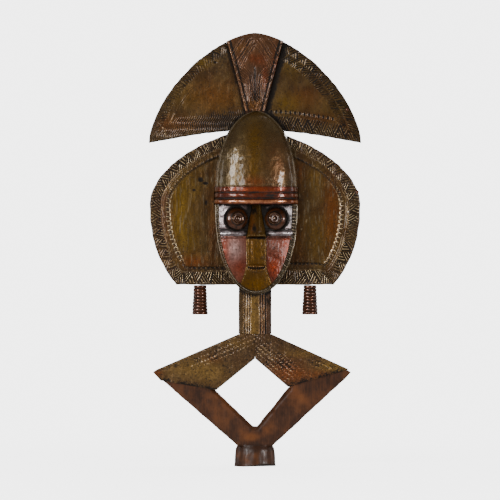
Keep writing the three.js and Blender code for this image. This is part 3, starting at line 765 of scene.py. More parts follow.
class Sheet:
    """A piece of sheet metal: a grid laid on its surface, then folded or thickened, then dressed."""

    def __init__(self, name: str, columns: int, rows: int) -> None:
        """Starts the sheet as a flat grid of unit size.

        Args:
            name: The piece's name.
            columns: Its steps across.
            rows: Its steps up.
        """
        self.name = name
        self.columns = columns
        self.rows = rows
        self.bm = bmesh.new()
        bmesh.ops.create_grid(self.bm, x_segments=columns, y_segments=rows, size=0.5)
        self.layers = Mark.layers(self.bm)
        self.fold_layer = self.bm.verts.layers.float.new("fold")

    def steps(self) -> Iterator[tuple[bmesh.types.BMVert, int, int]]:
        """Each point of the flat grid, with its column and its row."""
        for vert in self.bm.verts:
            yield vert, round((vert.co.x + 0.5) * self.columns), round((vert.co.y + 0.5) * self.rows)

    def put(
        self, vert: bmesh.types.BMVert, point: Vector, outwards: Vector, mark: Mark, fold: float = 0.0
    ) -> None:
        """Moves a point of the grid on to the surface and beats it.

        Args:
            vert: The grid's point.
            point: Its place on the surface.
            outwards: The way out of the sheet there.
            mark: What it shows there.
            fold: The depth to which the border is folded back there.
        """
        vert.co = point + outwards * mark.rise
        mark.write(vert, self.layers)
        vert[self.fold_layer] = fold

    def beaten(self, finish: SheetFinish, node: str, wall: float = SHEET_WALL) -> None:
        """Ends a laid sheet with a wall behind its face.

        Args:
            finish: Its finish.
            node: The node of the frame that it stands for.
            wall: Its thickness.
        """
        self._join()
        bmesh.ops.solidify(self.bm, geom=self.bm.faces[:], thickness=wall)
        self._dress(finish, node)

    def folded(self, rear: float, finish: SheetFinish, node: str) -> None:
        """Ends a laid upright sheet with its border folded back, and closes it behind.

        Args:
            rear: The depth of its flat rear face.
            finish: Its finish.
            node: The node of the frame that it stands for.
        """
        self._join()
        turned = self._extruded(self._border())
        for vert in turned:
            vert.co.y = vert[self.fold_layer]
        lip = self._extruded(turned)
        for vert, inward in lip.items():
            if vert.co.y > rear:
                vert.co += inward * SHEET_WALL
        for vert in self._extruded(lip):
            vert.co.y = rear
        border = [edge for edge in self.bm.edges if edge.is_boundary]
        made = bmesh.ops.holes_fill(self.bm, edges=border, sides=0)
        bmesh.ops.triangulate(self.bm, faces=made["faces"])
        bmesh.ops.remove_doubles(self.bm, verts=self.bm.verts, dist=TOUCHING)
        self._dress(finish, node)

    def _join(self) -> None:
        """Joins the points of the laid grid that meet, and turns its face to the front."""
        bmesh.ops.remove_doubles(self.bm, verts=self.bm.verts, dist=TOUCHING)
        bmesh.ops.recalc_face_normals(self.bm, faces=self.bm.faces)
        if sum(face.normal.y * face.calc_area() for face in self.bm.faces) > 0:
            bmesh.ops.reverse_faces(self.bm, faces=self.bm.faces)

    def _border(self) -> dict[bmesh.types.BMVert, Vector]:
        """Finds the open border.

        Returns:
            Its points, each with its way inwards in the sheet's plane.
        """
        ring = {}
        for vert in self.bm.verts:
            if not vert.is_boundary:
                continue
            beside = [edge.other_vert(vert).co for edge in vert.link_edges if edge.is_boundary]
            run = beside[0] - beside[-1]
            inward = Vector((-run.z, 0, run.x))
            middle = sum((face.calc_center_median() for face in vert.link_faces), Vector())
            if inward.dot(middle / len(vert.link_faces) - vert.co) < 0:
                inward.negate()
            ring[vert] = inward.normalized()
        return ring

    def _extruded(self, ring: dict[bmesh.types.BMVert, Vector]) -> dict[bmesh.types.BMVert, Vector]:
        """Extrudes the open border once.

        Args:
            ring: The border's points, each with its way inwards.

        Returns:
            The same for the new border.
        """
        border = [edge for edge in self.bm.edges if edge.is_boundary]
        made = bmesh.ops.extrude_edge_only(self.bm, edges=border)["geom"]
        fresh = {}
        for vert in (item for item in made if isinstance(item, bmesh.types.BMVert)):
            joined = (edge.other_vert(vert) for edge in vert.link_edges)
            fresh[vert] = next(ring[other] for other in joined if other in ring)
        return fresh

    def _dress(self, finish: SheetFinish, node: str) -> None:
        """Makes the sheet an object with its finish."""
        bmesh.ops.recalc_face_normals(self.bm, faces=self.bm.faces)
        dressed(self.name, self.bm, finish, node)


def dressed(name: str, bm: bmesh.types.BMesh, finish: SheetFinish | WoodFinish, *nodes: str) -> None:
    """Makes a mesh in millimetres an object in metres that rides on the figure.

    Args:
        name: The piece's name.
        bm: Its mesh, which is freed.
        finish: Its finish.
        nodes: The nodes of the frame that it stands for.
    """
    bmesh.ops.scale(bm, vec=(MM, MM, MM), verts=bm.verts)
    mesh = bpy.data.meshes.new(name)
    bm.to_mesh(mesh)
    bm.free()
    mesh.shade_smooth()
    mesh.set_sharp_from_angle(angle=SHARP_TURN)
    piece = bpy.data.objects.new(name, mesh)
    bpy.context.scene.collection.objects.link(piece)
    mesh.materials.append(bpy.data.materials.get(finish.name) or finish.material())
    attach(piece, BODY)
    if nodes:
        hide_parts(*nodes)
    mesh.calc_loop_triangles()
    LOG.info("%s: %d triangles", name, len(mesh.loop_triangles))


# The head, which the sheets on it and beside it follow


@dataclass(frozen=True)
class Head:
    """The head's own shape: a dome over a brow, and a hollow face inside a jaw."""

    middle: float = 1.8
    half_width: float = 57.4
    depth: float = 42.0
    rear: float = 3.2
    chin: float = 240.5
    brow_bottom: float = 366.0
    brow_top: float = 391.0
    crown: float = 497.0
    brow_rise: float = 1.5
    dome_roundness: float = 2.6
    jaw_roundness: float = 2.4
    face_front: float = -18.0
    face_slope: float = 8.0
    face_hollow: float = 14.0

    def outline(self, z: float, gap: float) -> float:
        """Half the head's width at a height.

        Args:
            z: The height.
            gap: A gap round the head.

        Returns:
            The half width, with the gap.
        """
        if z >= self.brow_top:
            share = (z - self.brow_top) / (self.crown - self.brow_top + gap)
            return (self.half_width + gap) * math.sqrt(max(1 - share * share, 0))
        if z >= self.brow_bottom:
            return self.half_width + self.brow_rise + gap
        share = (self.brow_bottom - z) / (self.brow_bottom - self.chin + gap)
        return (self.half_width + gap) * math.sqrt(max(1 - share**self.jaw_roundness, 0))

    def dome(self, across: float, up: float) -> tuple[Vector, Vector]:
        """A point of the forehead's dome.

        Args:
            across: Its place from 0, left, to 1, right.
            up: Its place from 0, on the brow, to 1, at the crown.

        Returns:
            The point and the way out.
        """
        turn = HALF_TURN * (1 - across)
        lift = QUARTER_TURN * up
        power = 2 / self.dome_roundness
        height = self.crown - self.brow_top
        offset = Vector((
            self.half_width * powered(math.cos(turn), power) * math.cos(lift),
            -self.depth * powered(math.sin(turn), power) * math.cos(lift),
            height * math.sin(lift),
        ))
        outwards = Vector((offset.x / self.half_width**2, offset.y / self.depth**2, offset.z / height**2))
        return offset + Vector((self.middle, self.rear, self.brow_top)), outwards.normalized()

    def face(self, x: float, z: float) -> float:
        """The depth of the hollow face.

        Args:
            x: The place across.
            z: The height.

        Returns:
            The face's y.
        """
        across = (x - self.middle) / self.half_width
        down = max((self.brow_bottom - z) / (self.brow_bottom - self.chin), 0)
        hollow = self.face_hollow * (1 - across * across - down**self.jaw_roundness)
        return self.face_front - self.face_slope * down + hollow

    def inside_rim(self, z: float, inset: float) -> float:
        """Half the face's width at a height, inside a rim of the given width."""
        down = max((self.brow_bottom - z) / (self.brow_bottom - self.chin - inset), 0)
        return (self.half_width - inset) * math.sqrt(max(1 - down**self.jaw_roundness, 0))

    def jaw_bottom(self, x: float) -> float:
        """The height of the jaw's underside at a place across."""
        share = 1 - ((x - self.middle) / self.half_width) ** 2
        return self.brow_bottom - (self.brow_bottom - self.chin) * max(share, 0) ** (1 / self.jaw_roundness)


# The flat sheets of the crest and the wings


class BorderPoint(NamedTuple):
    """A point of a board's sheet, with its x as on the right side.

    The run is the length along the border to it, the inset its distance inside the edge, and past the length
    beyond the outer corner, below 0 before it.
    """

    point: Vector
    run: float
    inset: float
    past: float


@dataclass
class BoardSheet:
    """One side's sheet on the flat board. The rows of its grid follow its edge, and so do its borders."""

    side: Side
    head: Head
    node: str
    finish: SheetFinish
    front: float = 2.0
    rear: float = 3.2
    fold_end: float = 9.0
    gap: float = 0.08
    edge_columns: int = 410
    foot_columns: int = 180
    band: float = 30.0
    band_rows: int = 44
    panel_rows: int = 26
    crossing: float = 530.0
    curve_steps: int = 400
    worn_rows: int = 8
    worn_depth: float = 0.9
    edge_roll: float = 2.2

    def edge(self, inset: float) -> Curve:
        """The outer edge at an inset, as on the right side, from the top down."""
        raise NotImplementedError

    def underside(self, x: float) -> float:
        """The height of the lower edge at a place."""
        raise NotImplementedError

    def inner(self, z: float) -> float:
        """How far from the middle the sheet starts at a height."""
        return self.head.outline(z, self.gap) + self.side.value * self.head.middle

    def chasing(self, at: BorderPoint) -> Mark:
        """What the sheet shows at a point."""
        raise NotImplementedError

    def _row(self, first: Curve, second: Curve) -> Curve:
        """One row of the grid, from the stretch along the edge and the one along the foot."""
        return respaced(first, self.edge_columns) + respaced(second, self.foot_columns)[1:]

    def _foot(self, inset: float) -> Curve:
        """The lower edge, from where it meets the outer one.

        Args:
            inset: How far inside the sheet's own edge.

        Returns:
            The edge, as on the right side.
        """
        corner = self.edge(inset)[-1].x
        places = (mix(corner, 0, i / self.curve_steps) for i in range(self.curve_steps + 1))
        return [Vector((x, 0, self.underside(x) + inset)) for x in places]

    def _band_row(self, inset: float) -> Curve:
        """The row of the grid at an inset."""
        lines = self.edge(inset), self._foot(inset)
        return self._row(*(kept(line, lambda at: at.x - self.inner(at.z)) for line in lines))

    def _inner_stretch(self, top: float, bottom: float) -> Curve:
        """The inner edge between two heights."""
        heights = (mix(top, bottom, i / self.curve_steps) for i in range(self.curve_steps + 1))
        return [Vector((self.inner(z), 0, z)) for z in heights]

    def _rows(self) -> list[Curve]:
        """The rows of the grid: those of the border, and those between it and the inner edge.

        Returns:
            The rows, from the outer edge inwards.
        """
        rows = [self._band_row(self.band * i / self.band_rows) for i in range(self.band_rows + 1)]
        outer = rows[-1]
        stretches = (outer[0].z, self.crossing), (self.crossing, outer[-1].z)
        inner = self._row(*(self._inner_stretch(*ends) for ends in stretches))
        for i in range(1, self.panel_rows + 1):
            share = i / self.panel_rows
            rows.append([before.lerp(after, share) for before, after in zip(outer, inner)])
        return rows

    def build(self) -> None:
        """Builds the sheet, worn uneven along its edge."""
        rows = self._rows()
        reached = along(rows[self.band_rows // 2])
        node = f"{self.node}_{self.side.word}"
        sheet = Sheet(f"chased_{node}", self.edge_columns + self.foot_columns, len(rows) - 1)
        for vert, column, row in sheet.steps():
            point = rows[row][column]
            if row < self.worn_rows:
                uneven = self.worn_depth * clamp(0.4 + noise.noise(point / 13) + 0.5 * noise.noise(point / 5))
                inwards = (rows[self.worn_rows][column] - point).normalized()
                point = point + inwards * uneven * (1 - row / self.worn_rows)
            inset = self.band * min(row / self.band_rows, 1)
            if row > self.band_rows:
                inset += (point - rows[self.band_rows][column]).length
            run = reached[column]
            mark = self.chasing(BorderPoint(point, run, inset, run - reached[self.edge_columns]))
            shown = Vector((point.x * self.side.value, self.front, point.z))
            sheet.put(vert, shown, FORWARDS, mark, self.rear if row else self.fold_end)
        sheet.folded(self.rear, self.finish, node)


@dataclass
class CrestSheet(BoardSheet):
    """One half of the crescent over the head."""

    node: str = "crest_sheet"
    finish: SheetFinish = BRASS
    half_width: float = 149.0
    rise: float = 154.5
    spring: float = 452.0
    roundness: float = 1.6
    drop: float = 16.8
    root: float = 37.88
    foot_curve: float = 1.3
    strip_bottom: float = 497.3
    strip_half_widths: tuple[float, float] = (14.0, 40.0)
    strip_top: float = 594.4
    first_row: tuple[float, float, float] = (2.5, 13.5, 13.0)
    second_row: tuple[float, float, float] = (15.0, 26.0, 13.0)
    low_row: tuple[float, float, float] = (3.0, 20.0, 15.0)
    low_line: float = 22.0
    punch_inset: float = 27.0
    punch_pitch: float = 6.6
    punch_radius: float = 2.0
    faint_row: tuple[float, float, float] = (3.0, 14.0, 13.0)
    faint_line: float = 24.0
    hatch_pitch: float = 3.1
    pit: tuple[float, float] = (56.0, 565.6)
    pit_radius: float = 3.4
    scratches: tuple[tuple[tuple[float, float], ...], ...] = (
        ((135, 481), (130, 476), (126, 468), (125, 461)),
        ((65.8, 533.4), (68, 524)),
        ((112, 494), (118, 482)),
    )

    def top(self, x: float) -> float:
        """The height of the crest's top edge at a place."""
        share = min(abs(x / self.half_width), 1) ** self.roundness
        return self.spring + self.rise * (1 - share) ** (1 / self.roundness)

    def underside(self, x: float) -> float:
        """The height of the crest's lower edge at a place."""
        share = max((x - self.root) / (self.half_width - self.root), 0)
        return self.spring + self.drop * (1 - share**self.foot_curve)

    def edge(self, inset: float) -> Curve:
        """The round edge, down to where it meets the lower one.

        Args:
            inset: How far inside the sheet's own edge.

        Returns:
            The edge, as on the right side.
        """
        power = 2 / self.roundness
        points = []
        for i in range(self.curve_steps + 1):
            turn = QUARTER_TURN * (1 - i / self.curve_steps)
            x = (self.half_width - inset) * powered(math.cos(turn), power)
            z = self.spring + (self.rise - inset) * powered(math.sin(turn), power)
            points.append(Vector((x, 0, z)))
        return kept(points, lambda point: point.z - self.underside(point.x) - inset + 1e-6)

    def inner(self, z: float) -> float:
        """Where the sheet starts beside the centre strip and the head."""
        share = clamp((z - self.strip_bottom) / (self.strip_top - self.strip_bottom), 0, 1.2)
        return max(mix(*self.strip_half_widths, share) + self.gap, super().inner(z))

    def chasing(self, at: BorderPoint) -> Mark:
        """Rows of slanting strokes along the round edge, and a dense band along the lower one.

        Args:
            at: A point of the sheet.

        Returns:
            The mark.
        """
        point, inset = at.point, at.inset
        right = self.side is Side.RIGHT
        seed = 3.0 if right else 8.0
        crisp = clamp(0.95 + 0.8 * noise.noise(point / 24 + Vector((seed, 0, 0))), 0.6, 1.25)
        carved = self._right_marks(at, crisp) if right else self._left_marks(at, crisp)
        carved *= 1 - patches(point, Spot(52, 571, 17, 13, 0.55))
        edge = 1 - smooth(inset, 0.0, self.edge_roll)
        inner = point.x - self.inner(point.z)
        # Painted shadow along the inner edge, thrown by the raised strip and the head, wider on the right;
        # then a faint darkening along the right border and a few darker patches.
        if right:
            dark = 0.35 * (1 - smooth(inner, 3, 11)) + 0.06 * (1 - smooth(inset, 18, 26))
            dim = (Spot(51, 566, 14, 12, 0.12),)
        else:
            dark = 0.2 * (1 - smooth(inner, 1, 5))
            dim = Spot(40, 484, 30, 14, 0.25), Spot(76, 478, 26, 10, 0.12), Spot(54, 573, 18, 12, 0.15)
        dark += patches(point, *dim)
        soft = waves(point, 26, 0.4, seed) + waves(point, 9, 0.2, seed + 4)
        beaten = dents(point, 8, 10, 0.3, seed)
        rise = -0.8 * edge * edge + 0.8 * limited(carved, 1.1) + soft + beaten * 0.6
        relief = 0.45 + 0.5 * limited(carved, 1.0) + beaten * 0.3 - 0.5 * edge - dark
        return Mark(clamp(rise, -0.9, 1.2), clamp(relief), *self._tints(point))

    def _right_marks(self, at: BorderPoint, crisp: float) -> float:
        """Two rows of slanting strokes, and below them a row of punched marks over a hatched band.

        Args:
            at: A point of the sheet.
            crisp: How crisp the marks are there.

        Returns:
            The height of the marks.
        """
        point, run, inset, past = at
        if past > 0:
            # Painted highlight: the strokes are cut deeper, and so lighter, in two patches where they glint.
            deep = patches(point, Spot(52, 478, 14, 8, 0.5), Spot(118, 462, 20, 8, 0.2))
            carved = zigzag(point.x, inset, *self.low_row, 0.8 * crisp + deep) * smooth(inset, 2, 3)
            carved *= 1 - smooth(inset, 20.5, 21.5)
            carved += chased(inset - self.low_line, THREAD, 0.4 * crisp)
            punched = bead(point.x, (inset - self.punch_inset) * 0.6, self.punch_pitch, self.punch_radius)
            return carved - punched * 0.9
        # Painted highlight: the strokes are cut deeper, and so lighter, where they glint.
        glints = (Spot(58, 570, 9, 5), Spot(74, 558, 9, 5), Spot(103, 524, 8, 5), Spot(113, 509, 7, 5))
        lit = 0.35 * patches(point, *glints)
        first = zigzag(run, inset, *self.first_row, 0.66 * crisp + lit) * (1 - smooth(inset, 13, 14))
        second = zigzag(run + 6, inset, *self.second_row, 0.52 * crisp + lit)
        return first + second * smooth(inset, 14.5, 15.5) * (1 - smooth(inset, 25, 27))

    def _left_marks(self, at: BorderPoint, crisp: float) -> float:
        """Faint strokes, a dense upright hatch along the lower edge, a pit and a few scratches.

        Args:
            at: A point of the sheet.
            crisp: How crisp the marks are there.

        Returns:
            The height of the marks.
        """
        point, run, inset, past = at
        if past > 0:
            lean = point.x + 1.6 * math.sin(point.z * 0.35) + 0.25 * point.z
            carved = strokes(lean, self.hatch_pitch, 0.56 * crisp) * smooth(inset, 2, 3)
            carved *= 1 - smooth(inset, 20, 32)
        else:
            carved = zigzag(run, inset, *self.faint_row, 0.42 * crisp) * (1 - smooth(inset, 13, 16))
            seen = patches(point, Spot(104, 517, 14, 18))
            carved += chased(inset - self.faint_line, THREAD, 0.35) * seen
        away = math.hypot(point.x - self.pit[0], (point.z - self.pit[1]) * 1.5)
        carved += 0.15 * math.exp(-(((away - 4.2) / 1.1) ** 2)) - 1.2 * bump(away, self.pit_radius)
        for line in self.scratches:
            if abs(point.x - line[0][0]) < 14 and abs(point.z - line[0][1]) < 20:
                carved += 0.55 * bump(distance_to(point, [Vector((x, 0, z)) for x, z in line]), 1.0)
        return carved

    def _tints(self, point: Vector) -> tuple[float, float]:
        """How golden and how red the patina is.

        Args:
            point: A point, with its x as on the right side.

        Returns:
            Two shares.
        """
        if self.side is Side.LEFT:
            gold = Spot(73, 565, 12, 8, 0.8), Spot(100, 520, 26, 22, 0.35), Spot(52, 512, 34, 20, 0.35)
            red = Spot(56, 518, 34, 22, 0.55), Spot(100, 478, 30, 10, 0.4), Spot(125, 480, 12, 12, 0.3)
        else:
            gold = Spot(46, 508, 20, 14, 0.8), Spot(52, 560, 16, 16, 0.5), Spot(110, 500, 22, 22, 0.3)
            red = Spot(72, 516, 24, 16, 0.45), Spot(90, 486, 30, 8, 0.35), Spot(128, 472, 16, 14, 0.35)
        return patches(point, *gold), patches(point, *red)


@dataclass
class WingSheet(BoardSheet):
    """One of the two curved wings beside the head."""

    node: str = "wing_sheet"
    finish: SheetFinish = WING_BRASS
    edge_columns: int = 530
    foot_columns: int = 170
    band: float = 34.0
    band_rows: int = 50
    panel_rows: int = 28
    crossing: float = 300.0
    half_width: float = 147.7
    widest: float = 366.0
    upper_reach: float = 106.4
    lower_reach: float = 176.4
    across_roundness: float = 1.5
    upper_roundness: float = 1.9
    lower_roundness: float = 2.3
    floor: float = 253.5
    teeth_inset: float = 2.2
    teeth_step: float = 14.0
    hatched: float = 15.5
    low_hatched: tuple[float, float] = (18.0, 20.0)
    bead_inset: float = 25.5
    low_bead_inset: tuple[float, float] = (23.5, 29.5)
    bead_pitch: float = 7.2
    bead_radius: float = 2.1
    pits: tuple[Spot, ...] = (
        Spot(85.4, 386.4, 4, 3), Spot(76, 401, 6, 5), Spot(69, 396, 6, 3), Spot(68.6, 369, 3, 6, 0.8),
    )
    glints: tuple[tuple[float, float], ...] = (
        (68.6, 385), (70, 355.6), (65.8, 331.8), (78.4, 312.2), (74, 371), (72, 343),
    )

    def edge(self, inset: float) -> Curve:
        """The curved edge, down to the floor of the wing.

        Args:
            inset: How far inside the sheet's own edge.

        Returns:
            The edge, as on the right side.
        """
        points = []
        for i in range(self.curve_steps + 1):
            turn = QUARTER_TURN * (1 - 2 * i / self.curve_steps)
            reach, power = self.lower_reach, self.lower_roundness
            if turn > 0:
                reach, power = self.upper_reach, self.upper_roundness
            x = (self.half_width - inset) * powered(math.cos(turn), 2 / self.across_roundness)
            z = self.widest + (reach - inset) * powered(math.sin(turn), 2 / power)
            points.append(Vector((x, 0, z)))
        return kept(points, lambda point: point.z - self.floor - inset)

    def underside(self, x: float) -> float:
        """The height of the wing's floor, which is level."""
        return self.floor

    def chasing(self, at: BorderPoint) -> Mark:
        """Hatched triangles at the edge, a pair of lines, a row of beads, and a glossy panel inside.

        Args:
            at: A point of the sheet.

        Returns:
            The mark.
        """
        point, run, inset, past = at
        right = self.side is Side.RIGHT
        seed = 12.0 if right else 17.0
        low = smooth(past, -10, 14)
        beads = mix(self.bead_inset, self.low_bead_inset[right], low)
        edge = 1 - smooth(inset, 0.0, self.edge_roll)
        panel = smooth(inset, beads + 1.2, beads + 3.2)
        carved, teeth = 0.0, 0.0
        if inset < beads + 6:
            crisp = clamp(0.95 + 0.9 * noise.noise(point / 26 + Vector((seed, 0, 0))), 0.6, 1.25)
            carved = self._border_marks(run, inset, low, crisp)
            # The scallops rise a little and carry a painted highlight.
            teeth = self._teeth(point, run, inset - beads) * (1 - low)
        soft = waves(point, 30, 0.35, seed) + waves(point, 8, 0.2, seed + 3) * (1 - 0.4 * panel)
        beaten = dents(point, 6.0, 19, 0.5, seed) * panel + dents(point, 5, 6, 0.16, seed) * (1 - panel)
        rise = -0.8 * edge * edge + 0.5 * (1 - panel) - 0.5 * panel + 0.3 * teeth
        rise += 0.8 * limited(carved, 1.2) + soft * 0.8 + beaten * 0.6
        relief = 0.45 + 0.5 * limited(carved, 1.0) + beaten * 0.2 - 0.5 * edge + 0.75 * teeth
        relief -= 0.35 * bump(inset - beads - 0.4, 2.6) * (1 - teeth)
        # Struck pits sit low and dark; glints rise a little and carry a painted highlight.
        for pit in self._pits():
            away = math.hypot((point.x - pit.x) / pit.half_width, (point.z - pit.z) / pit.half_height)
            rise -= 0.35 * bump(away, 1.0) * pit.strength
            relief -= 0.5 * bump(away, 1.0) * pit.strength
        return Mark(clamp(rise, -0.95, 1.25), clamp(relief), *self._tints(point, panel))

    def _border_marks(self, run: float, inset: float, low: float, crisp: float) -> float:
        """The hatched triangles, the lines inside them and the row of beads.

        Args:
            run: The length along the border.
            inset: The distance inside the edge.
            low: How far round the outer corner, from 0 to 1.
            crisp: How crisp the marks are there.

        Returns:
            The height of the marks.
        """
        right = self.side is Side.RIGHT
        hatched = mix(self.hatched, self.low_hatched[right], low)
        beads = mix(self.bead_inset, self.low_bead_inset[right], low)
        band = smooth(inset, 1.8, 2.8) * (1 - smooth(inset, hatched - 0.5, hatched + 0.5))
        carved = zigzag(run, inset, self.teeth_inset, hatched, self.teeth_step, 0.8 * crisp) * band
        carved += chased(inset - hatched - 2.0, THREAD, 0.5 * crisp)
        carved += chased(inset - hatched - 4.6, THREAD, 0.3 * crisp) * (1 - low)
        return carved + bead(run, inset - beads, self.bead_pitch, self.bead_radius) * 0.35

    def _teeth(self, point: Vector, run: float, inside: float) -> float:
        """The scallops between the beads, raised a little and given a painted highlight that is strongest
        towards the wing's outer side.

        Args:
            point: The point, with its x as on the right side.
            run: The length along the border to it.
            inside: How far it is inside the row of beads.

        Returns:
            How bright they are there.
        """
        between = abs((run / self.bead_pitch) % 1 - 0.5)
        scallop = 3.2 - 4.2 * smooth(between, 0.22, 0.5)
        side = patches(point, Spot(112, 336, 30, 50))
        return bump(inside - scallop, 1.0 + 1.6 * smooth(between, 0.3, 0.5)) * (0.15 + 1.2 * side)

    def _pits(self) -> Iterable[Spot]:
        """Where the sheet was struck, or, with a strength below 0, stands proud with a painted highlight."""
        glints = (Spot(x, z, 1.8, 4.5, -0.7) for x, z in self.glints)
        return self.pits if self.side is Side.LEFT else glints

    def _tints(self, point: Vector, panel: float) -> tuple[float, float]:
        """How golden and how red the patina is.

        Args:
            point: A point, with its x as on the right side.
            panel: How far it is inside the panel, from 0 to 1.

        Returns:
            Two shares.
        """
        if self.side is Side.LEFT:
            gold = Spot(106, 352, 12, 50, 0.9), Spot(88, 390, 22, 45, 0.4), Spot(90, 314, 16, 22, 0.5)
            red = Spot(87, 286, 20, 9, 0.95), Spot(60, 345, 7, 60, 0.35), Spot(128, 330, 12, 60, 0.5)
        else:
            gold = Spot(84, 402, 18, 22, 0.45), Spot(84, 320, 20, 34, 0.45), Spot(118, 310, 20, 40, 0.3)
            red = Spot(108, 356, 11, 60, 0.85), Spot(60, 410, 12, 20, 0.5), Spot(60, 318, 12, 34, 0.4)
        share = 0.5 + 0.5 * panel
        return patches(point, *gold) * share, patches(point, *red) * share


@dataclass
class CentreStrip:
    """The copper strip up the middle of the crest, with its chased curves."""

    crest: CrestSheet
    front: float = -3.0
    fold_end: float = 3.2
    line_width: float = 0.65
    line_height: float = 0.62
    border_inset: float = 1.6
    seed: float = 21.0

    def _lines(self) -> list[Curve]:
        """The chased lines, drawn on one half in shares of its width and height, and mirrored.

        Returns:
            The lines on a flat pattern of the strip, in millimetres.
        """
        halves = (
            ((0.97, 0.02), (0.99, 0.5), (0.96, 0.93)),
            ((0.02, 0.85), (0.36, 0.72), (0.72, 0.57)),
            ((0.1, 0.9), (0.45, 0.76), (0.84, 0.62)),
            ((0.2, 0.93), (0.57, 0.77), (0.96, 0.66)),
            ((0.5, 0.95), (0.97, 0.78)),
            ((0.5, 0.57), (0.24, 0.47), (0.17, 0.33), (0.3, 0.15)),
            ((0.7, 0.54), (0.38, 0.45), (0.31, 0.34), (0.42, 0.2), (0.6, 0.08)),
            ((0.88, 0.5), (0.54, 0.42), (0.46, 0.34), (0.58, 0.22), (0.8, 0.1)),
            ((0.9, 0.42), (0.66, 0.36), (0.7, 0.26), (0.9, 0.18)),
            ((0.24, 0.27), (0.02, 0.16)),
            ((0.3, 0.16), (0.04, 0.05)),
            ((0.55, 0.1), (0.3, 0.02)),
        )
        width, height = self._pattern()
        return [
            [Vector((side.value * x * width, 0, z * height)) for x, z in half]
            for half in halves
            for side in Side
        ]

    def _pattern(self) -> tuple[float, float]:
        """Half the width and the height of the flat pattern that the lines are drawn on."""
        return 0.7 * self.crest.strip_half_widths[1], self.crest.strip_top - self.crest.strip_bottom

    def build(self) -> None:
        """Builds the strip, folded back over its rib."""
        crest = self.crest
        lines = self._lines()
        width, height = self._pattern()
        sheet = Sheet("chased_strip", columns=124, rows=156)
        for vert, column, row in sheet.steps():
            share, up = 2 * column / sheet.columns - 1, row / sheet.rows
            half = mix(*crest.strip_half_widths, up)
            side = (1 - abs(share)) * half
            point = Vector((share * half, self.front, mix(crest.strip_bottom, crest.top(share * half), up)))
            spot = Vector((share * width, 0, up * height))
            carved = sum(chased(distance_to(spot, line), self.line_width, self.line_height) for line in lines)
            carved -= 0.9 * bump(spot.x, 1.5) * smooth(up, 0.14, 0.2) * (1 - smooth(up, 0.52, 0.6))
            soft = waves(point, 15, 0.35, self.seed) + dents(point, 6, 9, 0.3, self.seed) * 0.7
            relief = 0.46 + 0.45 * limited(carved, 0.9) + soft * 0.25
            # Painted highlight: the raised border is lighter on the left side only.
            relief += 0.4 * bump(side - self.border_inset, 1.5) * (share < 0)
            relief -= 0.4 * bump(side - 5, 2.2) + 0.2 * bump(1 - abs(share), 0.1)
            relief -= 0.16 * bump(spot.x, 11) * (1 - smooth(up, 0.5, 0.65)) * smooth(up, 0.05, 0.15)
            gold = patches(point, Spot(0, 506, 11, 8, 0.6), Spot(-20, 585, 14, 8, 0.3))
            rust = Spot(6, 569, 8, 8, 0.5), Spot(-4, 571, 4, 6, 0.4), Spot(14, 545, 4, 16, 0.5)
            red = patches(point, *rust, Spot(28, 560, 5, 26, 0.3))
            rise = 0.9 * limited(carved, 1.0) + soft + 0.7 * bump(side - self.border_inset, 1.6)
            rise -= 0.8 * (1 - smooth(side, 0, self.border_inset)) ** 2
            mark = Mark(clamp(rise, -1, 1.3), clamp(relief), gold, red)
            sheet.put(vert, point, FORWARDS, mark, self.fold_end)
        sheet.folded(self.front + SHEET_WALL, STRIP_COPPER, "crest_centre_strip")


# The head's sheets


